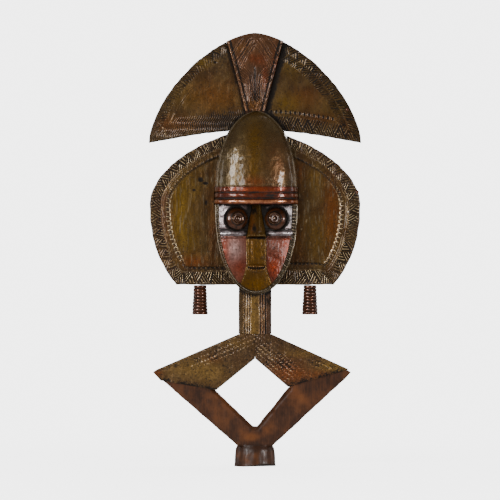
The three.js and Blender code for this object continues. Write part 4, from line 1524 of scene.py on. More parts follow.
@dataclass
class HeadSheets:
    """The dome of the forehead, the brow band, and the sheets of the hollow face."""

    head: Head
    gap: float = 0.12
    dome_line: float = 2.6
    dome_foot_line: float = 3.0
    brow_profile: tuple[tuple[float, float], ...] = (
        (0.0, 0.2), (0.04, 1.8), (0.12, 3.0), (0.22, 2.9), (0.29, 0.9), (0.33, 0.3), (0.37, 0.5),
        (0.42, 1.6), (0.57, 1.7), (0.62, 1.2), (0.66, 0.3), (0.7, 0.7), (0.75, 1.8), (0.97, 1.5), (1.0, 0.9),
    )
    brow_nail: tuple[float, float] = (-38.5, 387.0)
    rim_width: float = 5.0
    rim_rise: float = 0.8
    rim_side_share: float = 0.42
    rim_length: float = 330.0
    notch_pitch: float = 3.4
    plate_bottom: float = 322.0
    roll_height: float = 8.0
    roll_rise: float = 2.2
    nose_widths: tuple[float, float] = (27.8, 12.6)
    nose_rises: tuple[float, float] = (14.0, 6.0)
    strip_half_width: float = 13.9
    strip_flare: float = 8.0
    mouth_z: float = 279.0
    mouth_width: float = 27.0
    mouth_height: float = 11.0
    mouth_rise: float = 2.4
    cheek_ridge: float = 318.0
    centre_foot: float = 245.8
    eye_spacing: float = 55.4
    eye_z: float = 346.0
    eye_radius: float = 16.0
    eye_height: float = 9.0
    eye_slope_end: float = 9.4
    eye_ring_radius: float = 7.6
    eye_ring: tuple[tuple[float, float], ...] = (
        (8.8, 0.1), (8.2, 1.1), (7.6, 1.5), (7.0, 1.2), (6.4, 0.2),
        (4.6, -0.2), (3.2, 0.1), (2.9, 0.9), (2.0, 1.6), (0.0, 1.9),
    )

    def forehead(self) -> None:
        """Builds the beaten dome, with the line chased along its edge."""
        head = self.head
        sheet = Sheet("beaten_forehead", columns=160, rows=104)
        for vert, column, row in sheet.steps():
            point, outwards = head.dome(column / sheet.columns, row / sheet.rows)
            near = head.outline(point.z, 0) - abs(point.x - head.middle)
            carved = chased(near - self.dome_line, THREAD, 0.5)
            carved += chased(point.z - head.brow_top - self.dome_foot_line, THREAD, 0.35)
            beaten = dents(point, 5.5, 7.5, 0.26, 31) + waves(point, 19, 0.2, 33) + waves(point, 3.0, 0.1, 35)
            carved += strokes(point.x, 2.4, 0.5) * patches(point, Spot(-37, 435, 9, 6), Spot(8, 443, 8, 5))
            # Painted highlights: the lit patches where the lamps shine on the dome, and a lighter band along
            # its edge.
            lit = Spot(-18, 412, 9, 26), Spot(-37, 412, 5, 12), Spot(22, 400, 10, 10), Spot(40, 402, 3, 10)
            relief = 0.5 + 0.45 * carved + beaten * 0.15 + patches(point, *lit) * 0.1
            relief += 0.14 * (1 - smooth(near, 2, 8))
            gold = patches(point, Spot(-1, 450, 14, 40, 0.95), Spot(-2, 410, 10, 20, 0.6))
            red = patches(point, Spot(0, 397, 14, 8, 0.8), Spot(32, 420, 18, 34, 0.4))
            rise = limited(0.8 * carved + beaten, 1) * smooth(near, 0.0, 1.2)
            rise -= 0.1 * (1 - smooth(near, 0.0, 1.4))
            sheet.put(vert, point, outwards, Mark(rise, clamp(relief), gold, red))
        sheet.beaten(HEAD_BRASS, "forehead_sheet")

    def brow(self) -> None:
        """Builds the band over the eyes: a flat strip, a narrow one and a bright roll."""
        head = self.head
        profile = [Vector((share, 0, rise)) for share, rise in self.brow_profile]
        uneven = Beating(41, swelling=(13, 0.3), dent=(8, 5, 0.22))
        sheet = Sheet("rolled_brow", columns=230, rows=46)
        for vert, column, row in sheet.steps():
            share = row / sheet.rows
            after = next(i for i, at in enumerate(profile) if at.x >= share - 1e-9)
            before = profile[max(after - 1, 0)]
            span = profile[after].x - before.x
            rise = mix(before.z, profile[after].z, (share - before.x) / span if span else 1)
            ground, outwards = head.dome(column / sheet.columns, 0)
            outwards = Vector((0.5 * outwards.x, outwards.y, 0))
            z = mix(head.brow_bottom, head.brow_top - self.gap, share)
            point = Vector((ground.x, ground.y, z))
            torn = patches(point, Spot(22, 378.5, 13, 2.6))
            nail = math.hypot(point.x - self.brow_nail[0], z - self.brow_nail[1])
            beaten = uneven.at(point)
            height = min(rise + beaten, 2.9) - 0.9 * torn + 0.9 * bump(nail, 2.6) - 0.5 * bump(nail - 3.2, 1)
            relief = 0.13 + 0.2 * rise + beaten * 0.5 - 0.3 * torn + 0.12 * (share < 0.3) * (rise > 2)
            relief -= 0.08 * smooth(abs(point.x - head.middle), 34, 56)
            gilt = Spot(0, 386, 24, 4, 0.8), Spot(-25, 370, 26, 4, 0.4), Spot(32, 370, 16, 4, 0.4)
            gold = patches(point, *gilt)
            red = patches(point, Spot(0, 387, 34, 5, 0.7), Spot(0, 370, 60, 3, 0.25))
            sheet.put(vert, point, outwards, Mark(height, clamp(relief), gold, red))
        sheet.beaten(BROW_COPPER, "brow_band")

    def rim(self) -> None:
        """Builds the notched sheet that wraps the jaw and turns in over the rim of the face."""
        head = self.head
        jaw = head.brow_bottom - self.gap - head.chin
        power = 2 / head.jaw_roundness
        sheet = Sheet("notched_rim", columns=420, rows=22)
        for vert, column, row in sheet.steps():
            turn = HALF_TURN * (1 - column / sheet.columns)
            right = smooth(math.cos(turn), 0.1, 0.85)
            share = row / sheet.rows
            in_front = share > self.rim_side_share
            width = self.rim_width + 0.3 + 2.2 * right
            inset = max(share - self.rim_side_share, 0) / (1 - self.rim_side_share) * width
            x = head.middle + (head.half_width - inset) * math.cos(turn)
            z = head.brow_bottom - self.gap - (jaw - inset) * powered(math.sin(turn), power)
            face = head.face(x, z) - self.rim_rise
            y = face if in_front else mix(head.rear, face, share / self.rim_side_share)
            run = column / sheet.columns * self.rim_length
            corner = bump(share - self.rim_side_share, 0.1)
            notch = strokes(run, self.notch_pitch, 0.6) * smooth(inset, 1.6, 2.4) * (0.4 + 0.6 * right)
            carved = chased(inset - 1.5, 0.5, 0.5) + notch - 0.5 * bump(inset - 5.5 - 2.2 * right, 1.0)
            point = Vector((x, y, z))
            beaten = waves(point, 12, 0.25, 51)
            outwards = FORWARDS if in_front else Vector((math.cos(turn), 0, -0.3))
            relief = 0.41 + 0.42 * carved + 0.25 * corner * (inset < 1) + beaten * 0.5
            red = patches(point, Spot(-40, 300, 14, 30, 0.3))
            rise = limited(carved + beaten, 0.9) - 0.3 * corner if in_front else 0.05 * beaten
            sheet.put(vert, point, outwards, Mark(rise, clamp(relief), 0.0, red))
        sheet.beaten(RIM_BRASS, "face_rim", 0.8 * SHEET_WALL)

    def centre_half_width(self, z: float) -> float:
        """Half the width of the sheet that holds the nose and the mouth.

        Args:
            z: The height.

        Returns:
            The half width there.
        """
        top = self.head.brow_bottom
        if z >= self.plate_bottom:
            share = (z - self.plate_bottom) / (top - self.plate_bottom)
            return mix(*self.nose_widths, share) / 2
        flared = clamp((top - 83 - z) / 27, 0, 2) ** 1.5
        return min(self.strip_half_width + self.strip_flare * flared, self._face_edge(z))

    def _face_edge(self, z: float) -> float:
        """How far the face's sheets reach from the middle at a height, up to the rim."""
        return self.head.inside_rim(z, self.rim_width + self.gap)

    def centre(self) -> None:
        """Builds the long sheet with the nose, the mouth and the strip below it."""
        head = self.head
        foot = self.plate_bottom - self.gap
        top = head.brow_bottom - self.gap
        uneven = Beating(61, swelling=(11, 0.4), dent=(4.5, 7, 0.22))
        sheet = Sheet("nose_and_mouth", columns=66, rows=186)
        for vert, column, row in sheet.steps():
            z = mix(self.centre_foot, top, row / sheet.rows)
            half = self.centre_half_width(z)
            x = half * (2 * column / sheet.columns - 1)
            here = Vector((x, 0, z))
            ridge = clamp(1 - abs(x) / half)
            up = clamp((z - foot) / (top - foot))
            nose = mix(*self.nose_rises, up) * ridge**0.92
            nose *= smooth(z, foot - 2.6, foot + 0.4)
            side = half - abs(x)
            down_x = (x - 0.2) / (self.mouth_width / 2)
            down_z = (z - self.mouth_z + 2.2 * (1 - down_x * down_x)) / (self.mouth_height / 2)
            lens = 1 - down_x**2 - (down_z * 0.85) ** 2
            lips = self.mouth_rise * math.sqrt(clamp(lens))
            gape = bump(down_z, 0.42) * smooth(lens, 0.05, 0.35)
            teeth = strokes(x, STROKE_PITCH, 0.8) * bump(down_z, 0.75) * smooth(lens, 0.0, 0.2)
            lips = lips * (1 - 0.6 * gape) + teeth * 0.5
            border = chased(side - 0.9, THREAD, 0.5) * (z < foot)
            line = chased(x + 6.5, 0.5, 0.35) * smooth(foot - z, 4, 8) * (z > self.mouth_z + 8)
            point = Vector((x + head.middle, head.face(x + head.middle, z), z))
            beaten = uneven.at(point)
            relief = 0.42 + 0.5 * max(border, 0) + 0.35 * line + beaten * 0.4 + 0.05 * smooth(lens, 0, 0.3)
            # Painted highlight on the nose's right plane, a line and a lighter half; painted shade along the
            # nose's edges, and a painted shadow under its foot below a lighter edge.
            relief += 0.3 * bump(x - 4.5, 1.3) * (z > foot) - 0.5 * gape + 0.3 * teeth
            relief += 0.34 * bump(z - foot - 1.2, 1.6) - 0.4 * bump(z - foot + 2.6, 2.6) * (z < foot - 1)
            relief -= 0.3 * (1 - smooth(side, 0, 1.6)) * (z > foot)
            relief -= patches(here, Spot(-3, 333, 3, 6, 0.35), Spot(-4, 356, 5, 6, 0.2)) + 0.06 * (z > foot)
            relief += 0.1 * smooth(x, -0.5, 1.5) * (z > foot)
            gold = patches(here, Spot(0, 252, 22, 14, 0.9), Spot(0, 298, 12, 20, 0.6))
            red = patches(here, Spot(-6, 340, 4, 20, 0.5), Spot(0, 279, 12, 5, 0.2))
            rise = nose + lips + border + line + beaten
            sheet.put(vert, point, FORWARDS, Mark(rise, clamp(relief), gold, red))
        sheet.beaten(CENTRE_BRASS, "face_centre_sheet")

    def eye_plate(self, side: Side) -> None:
        """Builds one of the pale plates round the eyes, rolled along its lower edge.

        Args:
            side: Its side.
        """
        head = self.head
        top = head.brow_bottom - self.gap
        tone = 0.52 if side is Side.LEFT else 0.41
        rust = Spot(side.value * 40, 338, 14, 6, 0.4), Spot(side.value * 14, 352, 5, 14, 0.4)
        uneven = Beating(71, swelling=(9, 0.4), dent=(6, 6, 0.3))
        sheet = Sheet(f"silvery_plate_{side.word}", columns=66, rows=56)
        for vert, column, row in sheet.steps():
            z = mix(self.plate_bottom, top, row / sheet.rows)
            inner = self.centre_half_width(z) + self.gap
            out = mix(inner, self._face_edge(z), column / sheet.columns)
            x = head.middle + side.value * out
            point = Vector((x, head.face(x, z), z))
            share = (z - self.plate_bottom) / self.roll_height
            roll = self.roll_rise * math.sin(math.pi * share) if share < 1 else 0.0
            lift = 0.7 * bump(z - self.plate_bottom - self.roll_height - 1.5, 1.6)
            beaten = uneven.at(point, side.value)
            relief = tone + beaten * 0.6 + 0.13 * roll - 0.5 * bump(share - 1.08, 0.2)
            disc = math.hypot(out - self.eye_spacing / 2, z - self.eye_z)
            # Painted shadow round the raised disc, beside the nose and under the brow.
            relief -= 0.7 * (1 - smooth(disc, 15.5, 20.0)) * (share > 0.6)
            relief -= 0.7 * (1 - smooth(out - inner, 1.0, 8)) + 0.3 * smooth(z, top - 3, top)
            mark = Mark(roll + lift + beaten * 0.7, clamp(relief), 0.0, patches(point, *rust))
            sheet.put(vert, point, FORWARDS, mark)
        sheet.beaten(GREY_METAL, f"eye_plate_{side.word}")

    def cheek(self, side: Side) -> None:
        """Builds one of the red copper cheeks.

        Args:
            side: Its side.
        """
        head = self.head
        left = side is Side.LEFT
        top = self.plate_bottom - self.gap
        bottom = top
        while self._face_edge(bottom) - self.centre_half_width(bottom) > 2 * SHEET_WALL:
            bottom -= self.gap
        # Painted highlight: the pale patch, a silvery sheen high on the left cheek and a faint one on the
        # right.
        pale = Spot(31, 304, 12, 17, 1.0) if left else Spot(32, 308, 5, 10, 0.12)
        uneven = Beating(81, swelling=(13, 0.3), dent=(4.2, 6.0, 0.24))
        sheet = Sheet(f"copper_cheek_{side.word}", columns=60, rows=74)
        for vert, column, row in sheet.steps():
            z = mix(bottom, top, row / sheet.rows)
            inner = self.centre_half_width(z) + self.gap
            out = mix(inner, self._face_edge(z), column / sheet.columns)
            x = head.middle + side.value * out
            point, here = Vector((x, head.face(x, z), z)), Vector((out, 0, z))
            beaten = uneven.at(point, side.value)
            ridge = chased(z - self.cheek_ridge, 0.9, 0.6)
            edge = (1 - smooth(out - inner, 0, 2)) + (1 - smooth(top - z, 0, 2.2))
            # The left cheek is lighter than the right: painted light and painted shade.
            relief = (0.57 if left else 0.46) + beaten * 0.3 + 0.35 * ridge - 0.16 * edge
            red = patches(here, Spot(24, 278, 8, 12, 0.7), Spot(44, 302, 6, 22, 0.9)) * (0.6 if left else 1.0)
            mark = Mark(ridge + beaten * 0.8, clamp(relief), patches(here, pale), red)
            sheet.put(vert, point, FORWARDS, mark)
        sheet.beaten(LIT_CHEEK_COPPER if left else SHADED_CHEEK_COPPER, f"cheek_sheet_{side.word}")

    def _eye_dome(self, away: float) -> float:
        """The height of an eye's dome at a distance from its middle."""
        return self.eye_height * math.sqrt(1 - (away / self.eye_radius) ** 2 * 0.95)

    def eye_disc(self, side: Side) -> None:
        """Builds one of the domed eyes: a disc with a ring beaten into it and a nail in the middle.

        Args:
            side: Its side.
        """
        head = self.head
        x = head.middle + side.value * self.eye_spacing / 2
        z, radius = self.eye_z, self.eye_radius
        ring = self._eye_dome(self.eye_ring_radius)
        profile = [(0.0, 0.0), (radius, 0.0)]
        slope = [mix(radius, self.eye_slope_end, i / 9) for i in range(10)]
        profile += [(away, self._eye_dome(away)) for away in slope]
        profile += [(away, ring + rise) for away, rise in self.eye_ring]
        bm = spun(profile, steps=72)
        slope_x = (head.face(x + radius, z) - head.face(x - radius, z)) / (2 * radius)
        slope_z = (head.face(x, z + radius) - head.face(x, z - radius)) / (2 * radius)
        outwards = Vector((slope_x, -1, slope_z)).normalized()
        seat = self.gap + head.face_hollow * (radius / head.half_width) ** 2
        centre = Vector((x, head.face(x, z), z)) + outwards * seat
        uneven = Beating(91, swelling=(7, 0.3), dent=(5, 5, 0.2))
        layers = Mark.layers(bm)
        for vert in bm.verts:
            away = math.hypot(vert.co.x, vert.co.y)
            beaten = uneven.at(vert.co + centre) * smooth(away, 5, 10)
            vert.co.z += beaten * smooth(vert.co.z, 0.5, 3)
            groove = bump(away - 5.4, 1.2) + bump(away - 9.6, 1.0)
            relief = 0.42 + beaten * 0.6 + 0.3 * bump(away - self.eye_ring_radius, 0.9) - 0.35 * groove
            relief += 0.4 * bump(away, 2.2) - 0.3 * smooth(away, 14.5, 16)
            Mark(relief=clamp(relief), red=0.3 * bump(away - 12, 3)).write(vert, layers)
        turn = Vector((0, 0, 1)).rotation_difference(outwards).to_matrix()
        bmesh.ops.rotate(bm, verts=bm.verts, cent=(0, 0, 0), matrix=turn)
        bmesh.ops.translate(bm, verts=bm.verts, vec=centre)
        dressed(f"domed_eye_{side.word}", bm, DARK_COPPER, f"eye_disc_{side.word}")


def spun(profile: Iterable[tuple[float, float]], steps: int) -> bmesh.types.BMesh:
    """A closed round body from a profile about the Z axis.

    Args:
        profile: Its points, each a radius and a height, from pole to pole.
        steps: Its steps round.

    Returns:
        The body.
    """
    bm = bmesh.new()
    points = [bm.verts.new((radius, 0, height)) for radius, height in profile]
    edges = [bm.edges.new(pair) for pair in zip(points, points[1:])]
    bmesh.ops.spin(
        bm,
        geom=points + edges,
        cent=(0, 0, 0),
        axis=(0, 0, 1),
        dvec=(0, 0, 0),
        angle=2 * math.pi,
        steps=steps,
        use_merge=True,
    )
    bmesh.ops.remove_doubles(bm, verts=bm.verts, dist=TOUCHING)
    bmesh.ops.recalc_face_normals(bm, faces=bm.faces)
    return bm


# Below the head


@dataclass
class NeckSheet:
    """The sheet round the front of the neck, with three raised lines down each side."""

    head: Head
    half_width: float = 23.0
    half_depth: float = 17.5
    roundness: float = 2.6
    bottom: float = 185.3
    ridges: tuple[float, ...] = (6.0, 9.4, 12.8)
    slant_pitch: float = 2.9

    def build(self) -> None:
        """Builds the sheet."""
        power = 2 / self.roundness
        uneven = Beating(101, swelling=(12, 0.35), dent=(5, 10, 0.22))
        sheet = Sheet("ridged_neck", columns=150, rows=68)
        for vert, column, row in sheet.steps():
            turn = HALF_TURN * (1 - column / sheet.columns)
            x = self.half_width * powered(math.cos(turn), power)
            y = -self.half_depth * powered(math.sin(turn), power)
            top = self.head.jaw_bottom(x) - 0.3
            z = mix(self.bottom, top, row / sheet.rows)
            point = Vector((x, y, z))
            sway = 0.8 * math.sin(z / 14)
            carved = sum(chased(abs(x) - ridge - sway * 0.4, 0.75, 0.8) for ridge in self.ridges)
            side = smooth(abs(x), 14.5, 16.0) * (1 - smooth(abs(x), 20.5, 21.5))
            slant = strokes(z - abs(x) * 1.1, self.slant_pitch, 0.45) * side * (1.0 if x < 0 else 0.25)
            beaten = uneven.at(point)
            outwards = Vector((x / self.half_width**2, y / self.half_depth**2, 0)).normalized()
            # Painted shade under the jaw and down the right side.
            relief = 0.45 + 0.4 * carved + 0.4 * slant + beaten * 0.5 - 0.3 * (1 - smooth(top - z, 0, 8))
            relief -= 0.1 * smooth(x, 10, 16)
            gold = 0.6 * (1 - smooth(abs(x), 3.5, 7)) + 0.25 * (x < 0)
            mark = Mark(limited(carved + slant, 1) + beaten * 0.7, clamp(relief), gold, 0.25 * (x > 8))
            sheet.put(vert, point, outwards, mark)
        sheet.beaten(SHOULDER_BRASS, "neck_sheet")


@dataclass
class ShoulderSheet:
    """The sheet over one arm of the lozenge, folded over its edge and into its opening."""

    side: Side
    reach: float
    drop: float
    corner: tuple[float, float]
    front: float = -17.5
    fold_end: float = -10.5
    joint: float = 0.15
    top: float = 185.0
    neck: float = 23.0
    tip: float = 132.0
    opening_top: float = 151.0
    upper_dots: tuple[float, float] = (6.2, 24.0)
    lower_dots: tuple[float, float] = (5.6, 34.0)
    columns: tuple[int, int, int] = (38, 192, 24)
    rows: int = 84

    def _paths(self) -> tuple[Curve, Curve]:
        """The sheet's two long edges.

        Returns:
            The lower and the upper one, as on the right side, from the middle outwards.
        """
        end = self.tip - self.drop
        upper = [(self.joint, self.top), (self.neck, self.top), (self.reach - 5.4, self.tip + 3.6)]
        upper += [(self.reach, self.tip), (self.reach - 10.8, self.tip - 11.7)]
        points = [Vector((x, 0, z)) for x, z in upper]
        first = respaced(points[:2], self.columns[0])
        slope = kept(respaced(points[1:3], 200), lambda at: at.z - end)
        second = respaced(slope, self.columns[1])
        tip = kept(respaced([slope[-1], *points[3:]], 200), lambda at: at.z - end)
        third = respaced(tip, self.columns[2]) if len(tip) > 2 else [second[-1]] * (self.columns[2] + 1)
        opening = [Vector((self.joint, 0, self.opening_top)), Vector((self.corner[0], 0, self.corner[1]))]
        return respaced(opening, sum(self.columns)), first + second[1:] + third[1:]

    def _upper_rows(self, x: float) -> float:
        """How strong the rows along the upper edge are: on the left they end before the tip."""
        return 1 - smooth(x, 60, 110) if self.side is Side.LEFT else 0.4 + 0.6 * smooth(x, 80, 100)

    def build(self) -> None:
        """Builds the sheet."""
        lower, upper = self._paths()
        start, end = upper[self.columns[0]], upper[sum(self.columns[:2])]
        seed = 111.0 + self.side.value
        uneven = Beating(seed, swelling=(15, 0.5), dent=(8, 6, 0.3))
        sheet = Sheet(f"dotted_shoulder_{self.side.word}", sum(self.columns), self.rows)
        rear = self.front + SHEET_WALL
        for vert, column, row in sheet.steps():
            point = lower[column].lerp(upper[column], row / self.rows)
            ridge = distance_to(point, [start, end])
            inward = distance_to(point, [lower[0], lower[-1]])
            tip = distance_to(point, [lower[-1], upper[-1]])
            crisp = clamp(0.85 + 1.2 * noise.noise(point / 17 + Vector((seed, 0, 0))), 0.35, 1.3)
            carved = self._dots(point, start, end, *self.upper_dots) * self._upper_rows(point.x)
            if self.side is Side.RIGHT:
                carved += self._dots(point, lower[0], lower[-1], *self.lower_dots)
            carved *= 0.7 * crisp * smooth(ridge, 3.5, 5) * smooth(inward, 2, 3.5) * smooth(tip, 5, 9)
            carved += chased(ridge - 2.6, 0.5, 0.3)
            edge = 1 - smooth(min(ridge, inward), 0, 1.6)
            beaten = uneven.at(point)
            grain = waves(point, 1.9, 0.3, seed + 5)
            relief = 0.44 + 0.5 * limited(carved, 1.0) + beaten * 0.3 - 0.3 * edge + grain
            relief -= 0.22 * bump(tip, 7.0)
            rise = 0.85 * limited(carved, 1.1) + beaten + grain * 0.4 - 0.8 * edge * edge
            mark = Mark(clamp(rise, -0.9, 1.2), clamp(relief), *self._tints(point))
            shown = Vector((point.x * self.side.value, self.front, point.z))
            sheet.put(vert, shown, FORWARDS, mark, self.fold_end if row in (0, self.rows) else rear)
        sheet.folded(rear, SHOULDER_BRASS, f"shoulder_sheet_{self.side.word}")

    def _dots(self, point: Vector, start: Vector, end: Vector, pitch: float, reach: float) -> float:
        """Rows of small raised dots along a line of the sheet.

        Args:
            point: A point of the sheet.
            start: The line's start.
            end: The line's end.
            pitch: The distance between two rows, and about that between two dots.
            reach: How far from the line the rows go.

        Returns:
            The height there.
        """
        span = (end - start).normalized()
        away = abs((point - start).cross(span).y)
        row = math.floor(away / pitch)
        run = (point - start).dot(span) + row % 2 * pitch * 0.4 + 2.4 * noise.noise(point / 7)
        groove = -0.35 * bump(away - (row + (away / pitch % 1 > 0.5)) * pitch, 0.9)
        fade = (1 - smooth(away, reach * 0.8, reach)) * clamp(0.9 + noise.noise(point / 5))
        return (bead(run, away - (row + 0.5) * pitch, pitch * 0.8, 1.7) + groove) * fade

    def _tints(self, point: Vector) -> tuple[float, float]:
        """How golden and how red the patina is.

        Args:
            point: A point, with its x as on the right side.

        Returns:
            Two shares.
        """
        if self.side is Side.LEFT:
            gold = Spot(90, 138, 40, 16, 0.6), Spot(30, 172, 24, 8, 0.4), Spot(60, 128, 20, 14, 0.4)
            red = Spot(136, 131, 6, 6, 1.0), Spot(60, 150, 12, 5, 0.3)
        else:
            gold = Spot(108, 140, 24, 9, 1.0), Spot(70, 158, 30, 6, 0.5)
            red = Spot(46, 130, 30, 18, 0.85), Spot(90, 128, 30, 7, 0.6)
        return patches(point, *gold), patches(point, *red)


@dataclass
class Pendant:
    """One of the ringed pendants under the wings."""

    side: Side
    reach: float = 77.0
    middle_y: float = 9.0
    top: float = 253.2
    length: float = 41.0
    radii: tuple[float, float] = (9.0, 11.2)
    rings: int = 9
    ring_depth: float = 0.9
    hollow: float = 9.0
    steps_per_ring: int = 8

    def build(self) -> None:
        """Builds the pendant, hollow underneath."""
        count = self.rings * self.steps_per_ring
        profile = [(0.0, 0.0), (self.radii[0] - 1, 0.0)]
        for i in range(count + 1):
            share = i / count
            swell = abs(math.sin(math.pi * share * self.rings)) ** 0.6
            radius = mix(*self.radii, share) - self.ring_depth + self.ring_depth * swell
            profile.append((radius, -share * self.length))
        inside = self.hollow - self.length
        profile += [(self.radii[1] - 2.2, 0.4 - self.length), (self.radii[1] - 3.2, inside), (0.0, inside)]
        bm = spun(profile, steps=56)
        layers = Mark.layers(bm)
        centre = Vector((self.side.value * self.reach, self.middle_y, self.top))
        for vert in bm.verts:
            away = math.hypot(vert.co.x, vert.co.y)
            spot = vert.co + centre
            swell = abs(math.sin(math.pi * clamp(-vert.co.z / self.length) * self.rings))
            uneven = waves(spot, 8, 0.35, 121) + waves(spot, 3, 0.15, 123)
            if away > 0.5 * self.radii[0]:
                vert.co.x += uneven * vert.co.x / away
                vert.co.y += uneven * vert.co.y / away
            relief = 0.12 + 0.42 * swell + uneven * 0.4
            Mark(relief=clamp(relief), red=clamp(0.4 + uneven)).write(vert, layers)
        bmesh.ops.translate(bm, verts=bm.verts, vec=centre)
        dressed(f"ringed_pendant_{self.side.word}", bm, DARK_COPPER, f"ear_pendant_{self.side.word}")


@dataclass
class Nails:
    """The nails whose heads show at the edges of the crest and the right wing."""

    places: tuple[tuple[float, float], ...] = ((129.0, 499.0), (143.0, 383.6))
    front: float = 1.2
    radius: float = 2.6
    height: float = 1.5
    sunk: float = 1.5

    def build(self) -> None:
        """Builds the nails."""
        whole = bmesh.new()
        for x, z in self.places:
            steps = [QUARTER_TURN * i / 6 for i in range(7)]
            dome = [(self.radius * math.cos(turn), self.height * math.sin(turn)) for turn in steps]
            bm = spun([(0.0, -self.sunk), (self.radius, -self.sunk), *dome], steps=20)
            bmesh.ops.rotate(bm, verts=bm.verts, cent=(0, 0, 0), matrix=Matrix.Rotation(QUARTER_TURN, 3, "X"))
            bmesh.ops.translate(bm, verts=bm.verts, vec=(x, self.front, z))
            mesh = bpy.data.meshes.new("nail")
            bm.to_mesh(mesh)
            bm.free()
            whole.from_mesh(mesh)
            bpy.data.meshes.remove(mesh)
        layers = Mark.layers(whole)
        for vert in whole.verts:
            Mark(relief=0.55, red=0.3).write(vert, layers)
        dressed("edge_nails", whole, DARK_COPPER)


@dataclass
class WoodCore:
    """The carved wood behind and under the sheets, with the cuts of the adze on it."""

    node: str = "wood_core"
    remesh_depth: int = 8
    remesh_fill: float = 0.95

    def build(self) -> None:
        """Builds the core from the frame's own, with its edges worn and its faces cut."""
        source = next(
            item for item in bpy.data.objects if item.type == "MESH" and item.name.startswith(self.node)
        )
        bm = bmesh.new()
        bm.from_mesh(source.data)
        bmesh.ops.remove_doubles(bm, verts=bm.verts, dist=1e-6)
        bmesh.ops.scale(bm, vec=(1 / MM, 1 / MM, 1 / MM), verts=bm.verts)
        mesh = bpy.data.meshes.new("core_source")
        bm.to_mesh(mesh)
        bm.free()
        block = bpy.data.objects.new("core_source", mesh)
        bpy.context.scene.collection.objects.link(block)
        remesh = block.modifiers.new("even", "REMESH")
        remesh.mode = "SHARP"
        remesh.octree_depth = self.remesh_depth
        remesh.scale = self.remesh_fill
        remesh.use_remove_disconnected = False
        evaluated = block.evaluated_get(bpy.context.evaluated_depsgraph_get())
        carved = bmesh.new()
        carved.from_mesh(evaluated.to_mesh())
        evaluated.to_mesh_clear()
        bpy.data.objects.remove(block)
        bpy.data.meshes.remove(mesh)
        self._carve(carved)
        dressed("carved_core", carved, WOOD, self.node)

    def _carve(self, bm: bmesh.types.BMesh) -> None:
        """Cuts the adze marks, wears the foot, and marks where the wood is red or dark.

        Args:
            bm: The core's mesh.
        """
        bm.normal_update()
        layers = Mark.layers(bm)
        rust = (
            Spot(-6, 40, 12, 7, 0.8), Spot(-70, 100, 30, 16, 0.3), Spot(60, 90, 30, 20, 0.35),
            Spot(-6, 10, 9, 10, 0.7), Spot(-24, 16, 4, 12, 0.5), Spot(14, 22, 5, 6, 0.4),
            Spot(20, 50, 10, 8, 0.4),
        )
        for vert in bm.verts:
            point = vert.co.copy()
            behind = smooth(point.y, 4, 10)
            low = 1 - smooth(point.z, 125, 190)
            cut = dents(point, 12, 26, 0.6, 131) * behind + dents(point, 7, 18, 0.45, 133) * low
            cut += waves(point, 24, 0.5, 135) * max(behind, low) + waves(point, 4, 0.15, 137)
            vert.co += vert.normal * (cut - 0.25) * smooth(point.z, 1.5, 5)
            vert.co.z = max(vert.co.z, 0.0)
            crease = smooth(point.y, -12, -6) * (1 - smooth(point.y, 2, 6)) * (point.z > 190)
            relief = 0.72 + cut * 0.35 - 0.5 * patches(point, Spot(0, 28, 40, 4, 0.7)) - 0.3 * crease
            relief += waves(point, 7, 0.25, 139) - 0.4 * (1 - smooth(point.z, 22, 34))
            polish = 1 - smooth(point.z, 26, 36)
            Mark(relief=clamp(relief), gold=polish, red=patches(point, *rust)).write(vert, layers)


# The studio


class Lamp(NamedTuple):
    """A soft light with a square-cornered face: its place, the face's width and height, and its watts."""

    name: str
    place: tuple[float, float, float]
    size: tuple[float, float]
    power: float


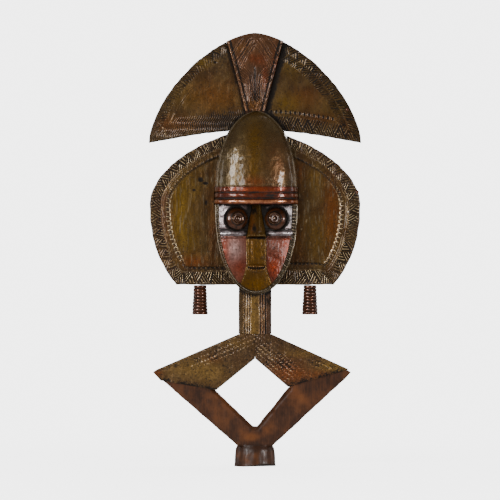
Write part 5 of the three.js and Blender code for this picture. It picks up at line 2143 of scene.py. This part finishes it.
@dataclass
class Studio:
    """A pale floor, a pale room, soft light from both sides, and the camera of the photograph."""

    paper: PaperFinish = PaperFinish()
    floor_radius: float = 1.6
    view_height: float = 0.7
    camera_distance: float = 6.0
    camera_x: float = -0.007
    camera_z: float = 0.3025
    sensor: float = 36.0
    room_glow: float = 0.2
    backdrop_glow: float = 4.55
    lamps: tuple[Lamp, ...] = (
        Lamp("key_light", (-2.1, -2.3, 1.0), (0.8, 1.5), 80.0),
        Lamp("fill_light", (2.2, -2.3, 0.5), (0.7, 0.8), 55.0),
        Lamp("front_light", (-1.0, -2.9, 0.8), (0.4, 1.0), 16.0),
        Lamp("top_light", (0.3, 0.7, 2.8), (1.4, 1.0), 24.0),
        Lamp("back_light", (0.5, 3.0, 1.2), (1.6, 1.2), 36.0),
        Lamp("left_light", (-2.8, 0.35, 0.5), (0.6, 1.6), 9.0),
        Lamp("right_light", (2.8, 0.35, 0.5), (0.6, 1.6), 8.0),
    )

    def build(self) -> None:
        """Builds the floor, the room, the lights and the camera."""
        self._floor()
        self._room()
        for lamp in self.lamps:
            self._light(lamp)
        self._camera()

    def _floor(self) -> None:
        """The paper that the figure stands on, which fades into the room."""
        bm = bmesh.new()
        bmesh.ops.create_circle(bm, cap_ends=True, cap_tris=False, segments=96, radius=self.floor_radius)
        mesh = bpy.data.meshes.new("studio_floor")
        bm.to_mesh(mesh)
        bm.free()
        mesh.materials.append(self.paper.material())
        floor = bpy.data.objects.new("studio_floor", mesh)
        bpy.context.scene.collection.objects.link(floor)

    def _room(self) -> None:
        """The pale room, brighter where it is seen than where it lights."""
        world = bpy.data.worlds.new("studio_room")
        bpy.context.scene.world = world
        world.use_nodes = True
        nodes, links = world.node_tree.nodes, world.node_tree.links
        background = nodes["Background"]
        background.inputs["Color"].default_value = (1.0, 1.0, 1.0, 1.0)
        seen = nodes.new("ShaderNodeLightPath")
        choice = nodes.new("ShaderNodeMapRange")
        choice.inputs["To Min"].default_value = self.room_glow
        choice.inputs["To Max"].default_value = self.backdrop_glow
        links.new(seen.outputs["Is Camera Ray"], choice.inputs["Value"])
        links.new(choice.outputs["Result"], background.inputs["Strength"])

    def _light(self, lamp: Lamp) -> None:
        """Hangs a light that looks at the figure's middle.

        Args:
            lamp: The light.
        """
        light = bpy.data.lights.new(lamp.name, "AREA")
        light.shape = "RECTANGLE"
        light.size, light.size_y = lamp.size
        light.energy = lamp.power
        hung = bpy.data.objects.new(lamp.name, light)
        hung.location = lamp.place
        aim = Vector((0, 0, self.camera_z + 0.1)) - Vector(lamp.place)
        hung.rotation_euler = aim.to_track_quat("-Z", "Y").to_euler()
        bpy.context.scene.collection.objects.link(hung)

    def _camera(self) -> None:
        """The camera, far away and level, as in the photograph."""
        data = bpy.data.cameras.new("camera")
        data.sensor_width = self.sensor
        data.lens = self.sensor * self.camera_distance / self.view_height
        data.clip_end = 50
        camera = bpy.data.objects.new("camera", data)
        camera.location = (self.camera_x, -self.camera_distance, self.camera_z)
        camera.rotation_euler = (QUARTER_TURN, 0, 0)
        bpy.context.scene.collection.objects.link(camera)
        bpy.context.scene.camera = camera


def main() -> None:
    """Builds the figure around the frame and dresses it."""
    logging.basicConfig(level=logging.INFO, format="%(name)s: %(message)s")
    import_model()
    head = Head()
    for side in Side:
        crest = CrestSheet(side, head)
        crest.build()
        WingSheet(side, head).build()
    CentreStrip(crest).build()
    sheets = HeadSheets(head)
    sheets.forehead()
    sheets.brow()
    sheets.rim()
    sheets.centre()
    for side in Side:
        sheets.eye_plate(side)
        sheets.cheek(side)
        sheets.eye_disc(side)
        Pendant(side).build()
    NeckSheet(head).build()
    ShoulderSheet(Side.LEFT, reach=142.5, drop=13.0, corner=(54.0, 107.0)).build()
    ShoulderSheet(Side.RIGHT, reach=137.0, drop=-4.0, corner=(46.0, 111.5)).build()
    Nails().build()
    WoodCore().build()
    Studio().build()


if __name__ == "__main__":
    main()
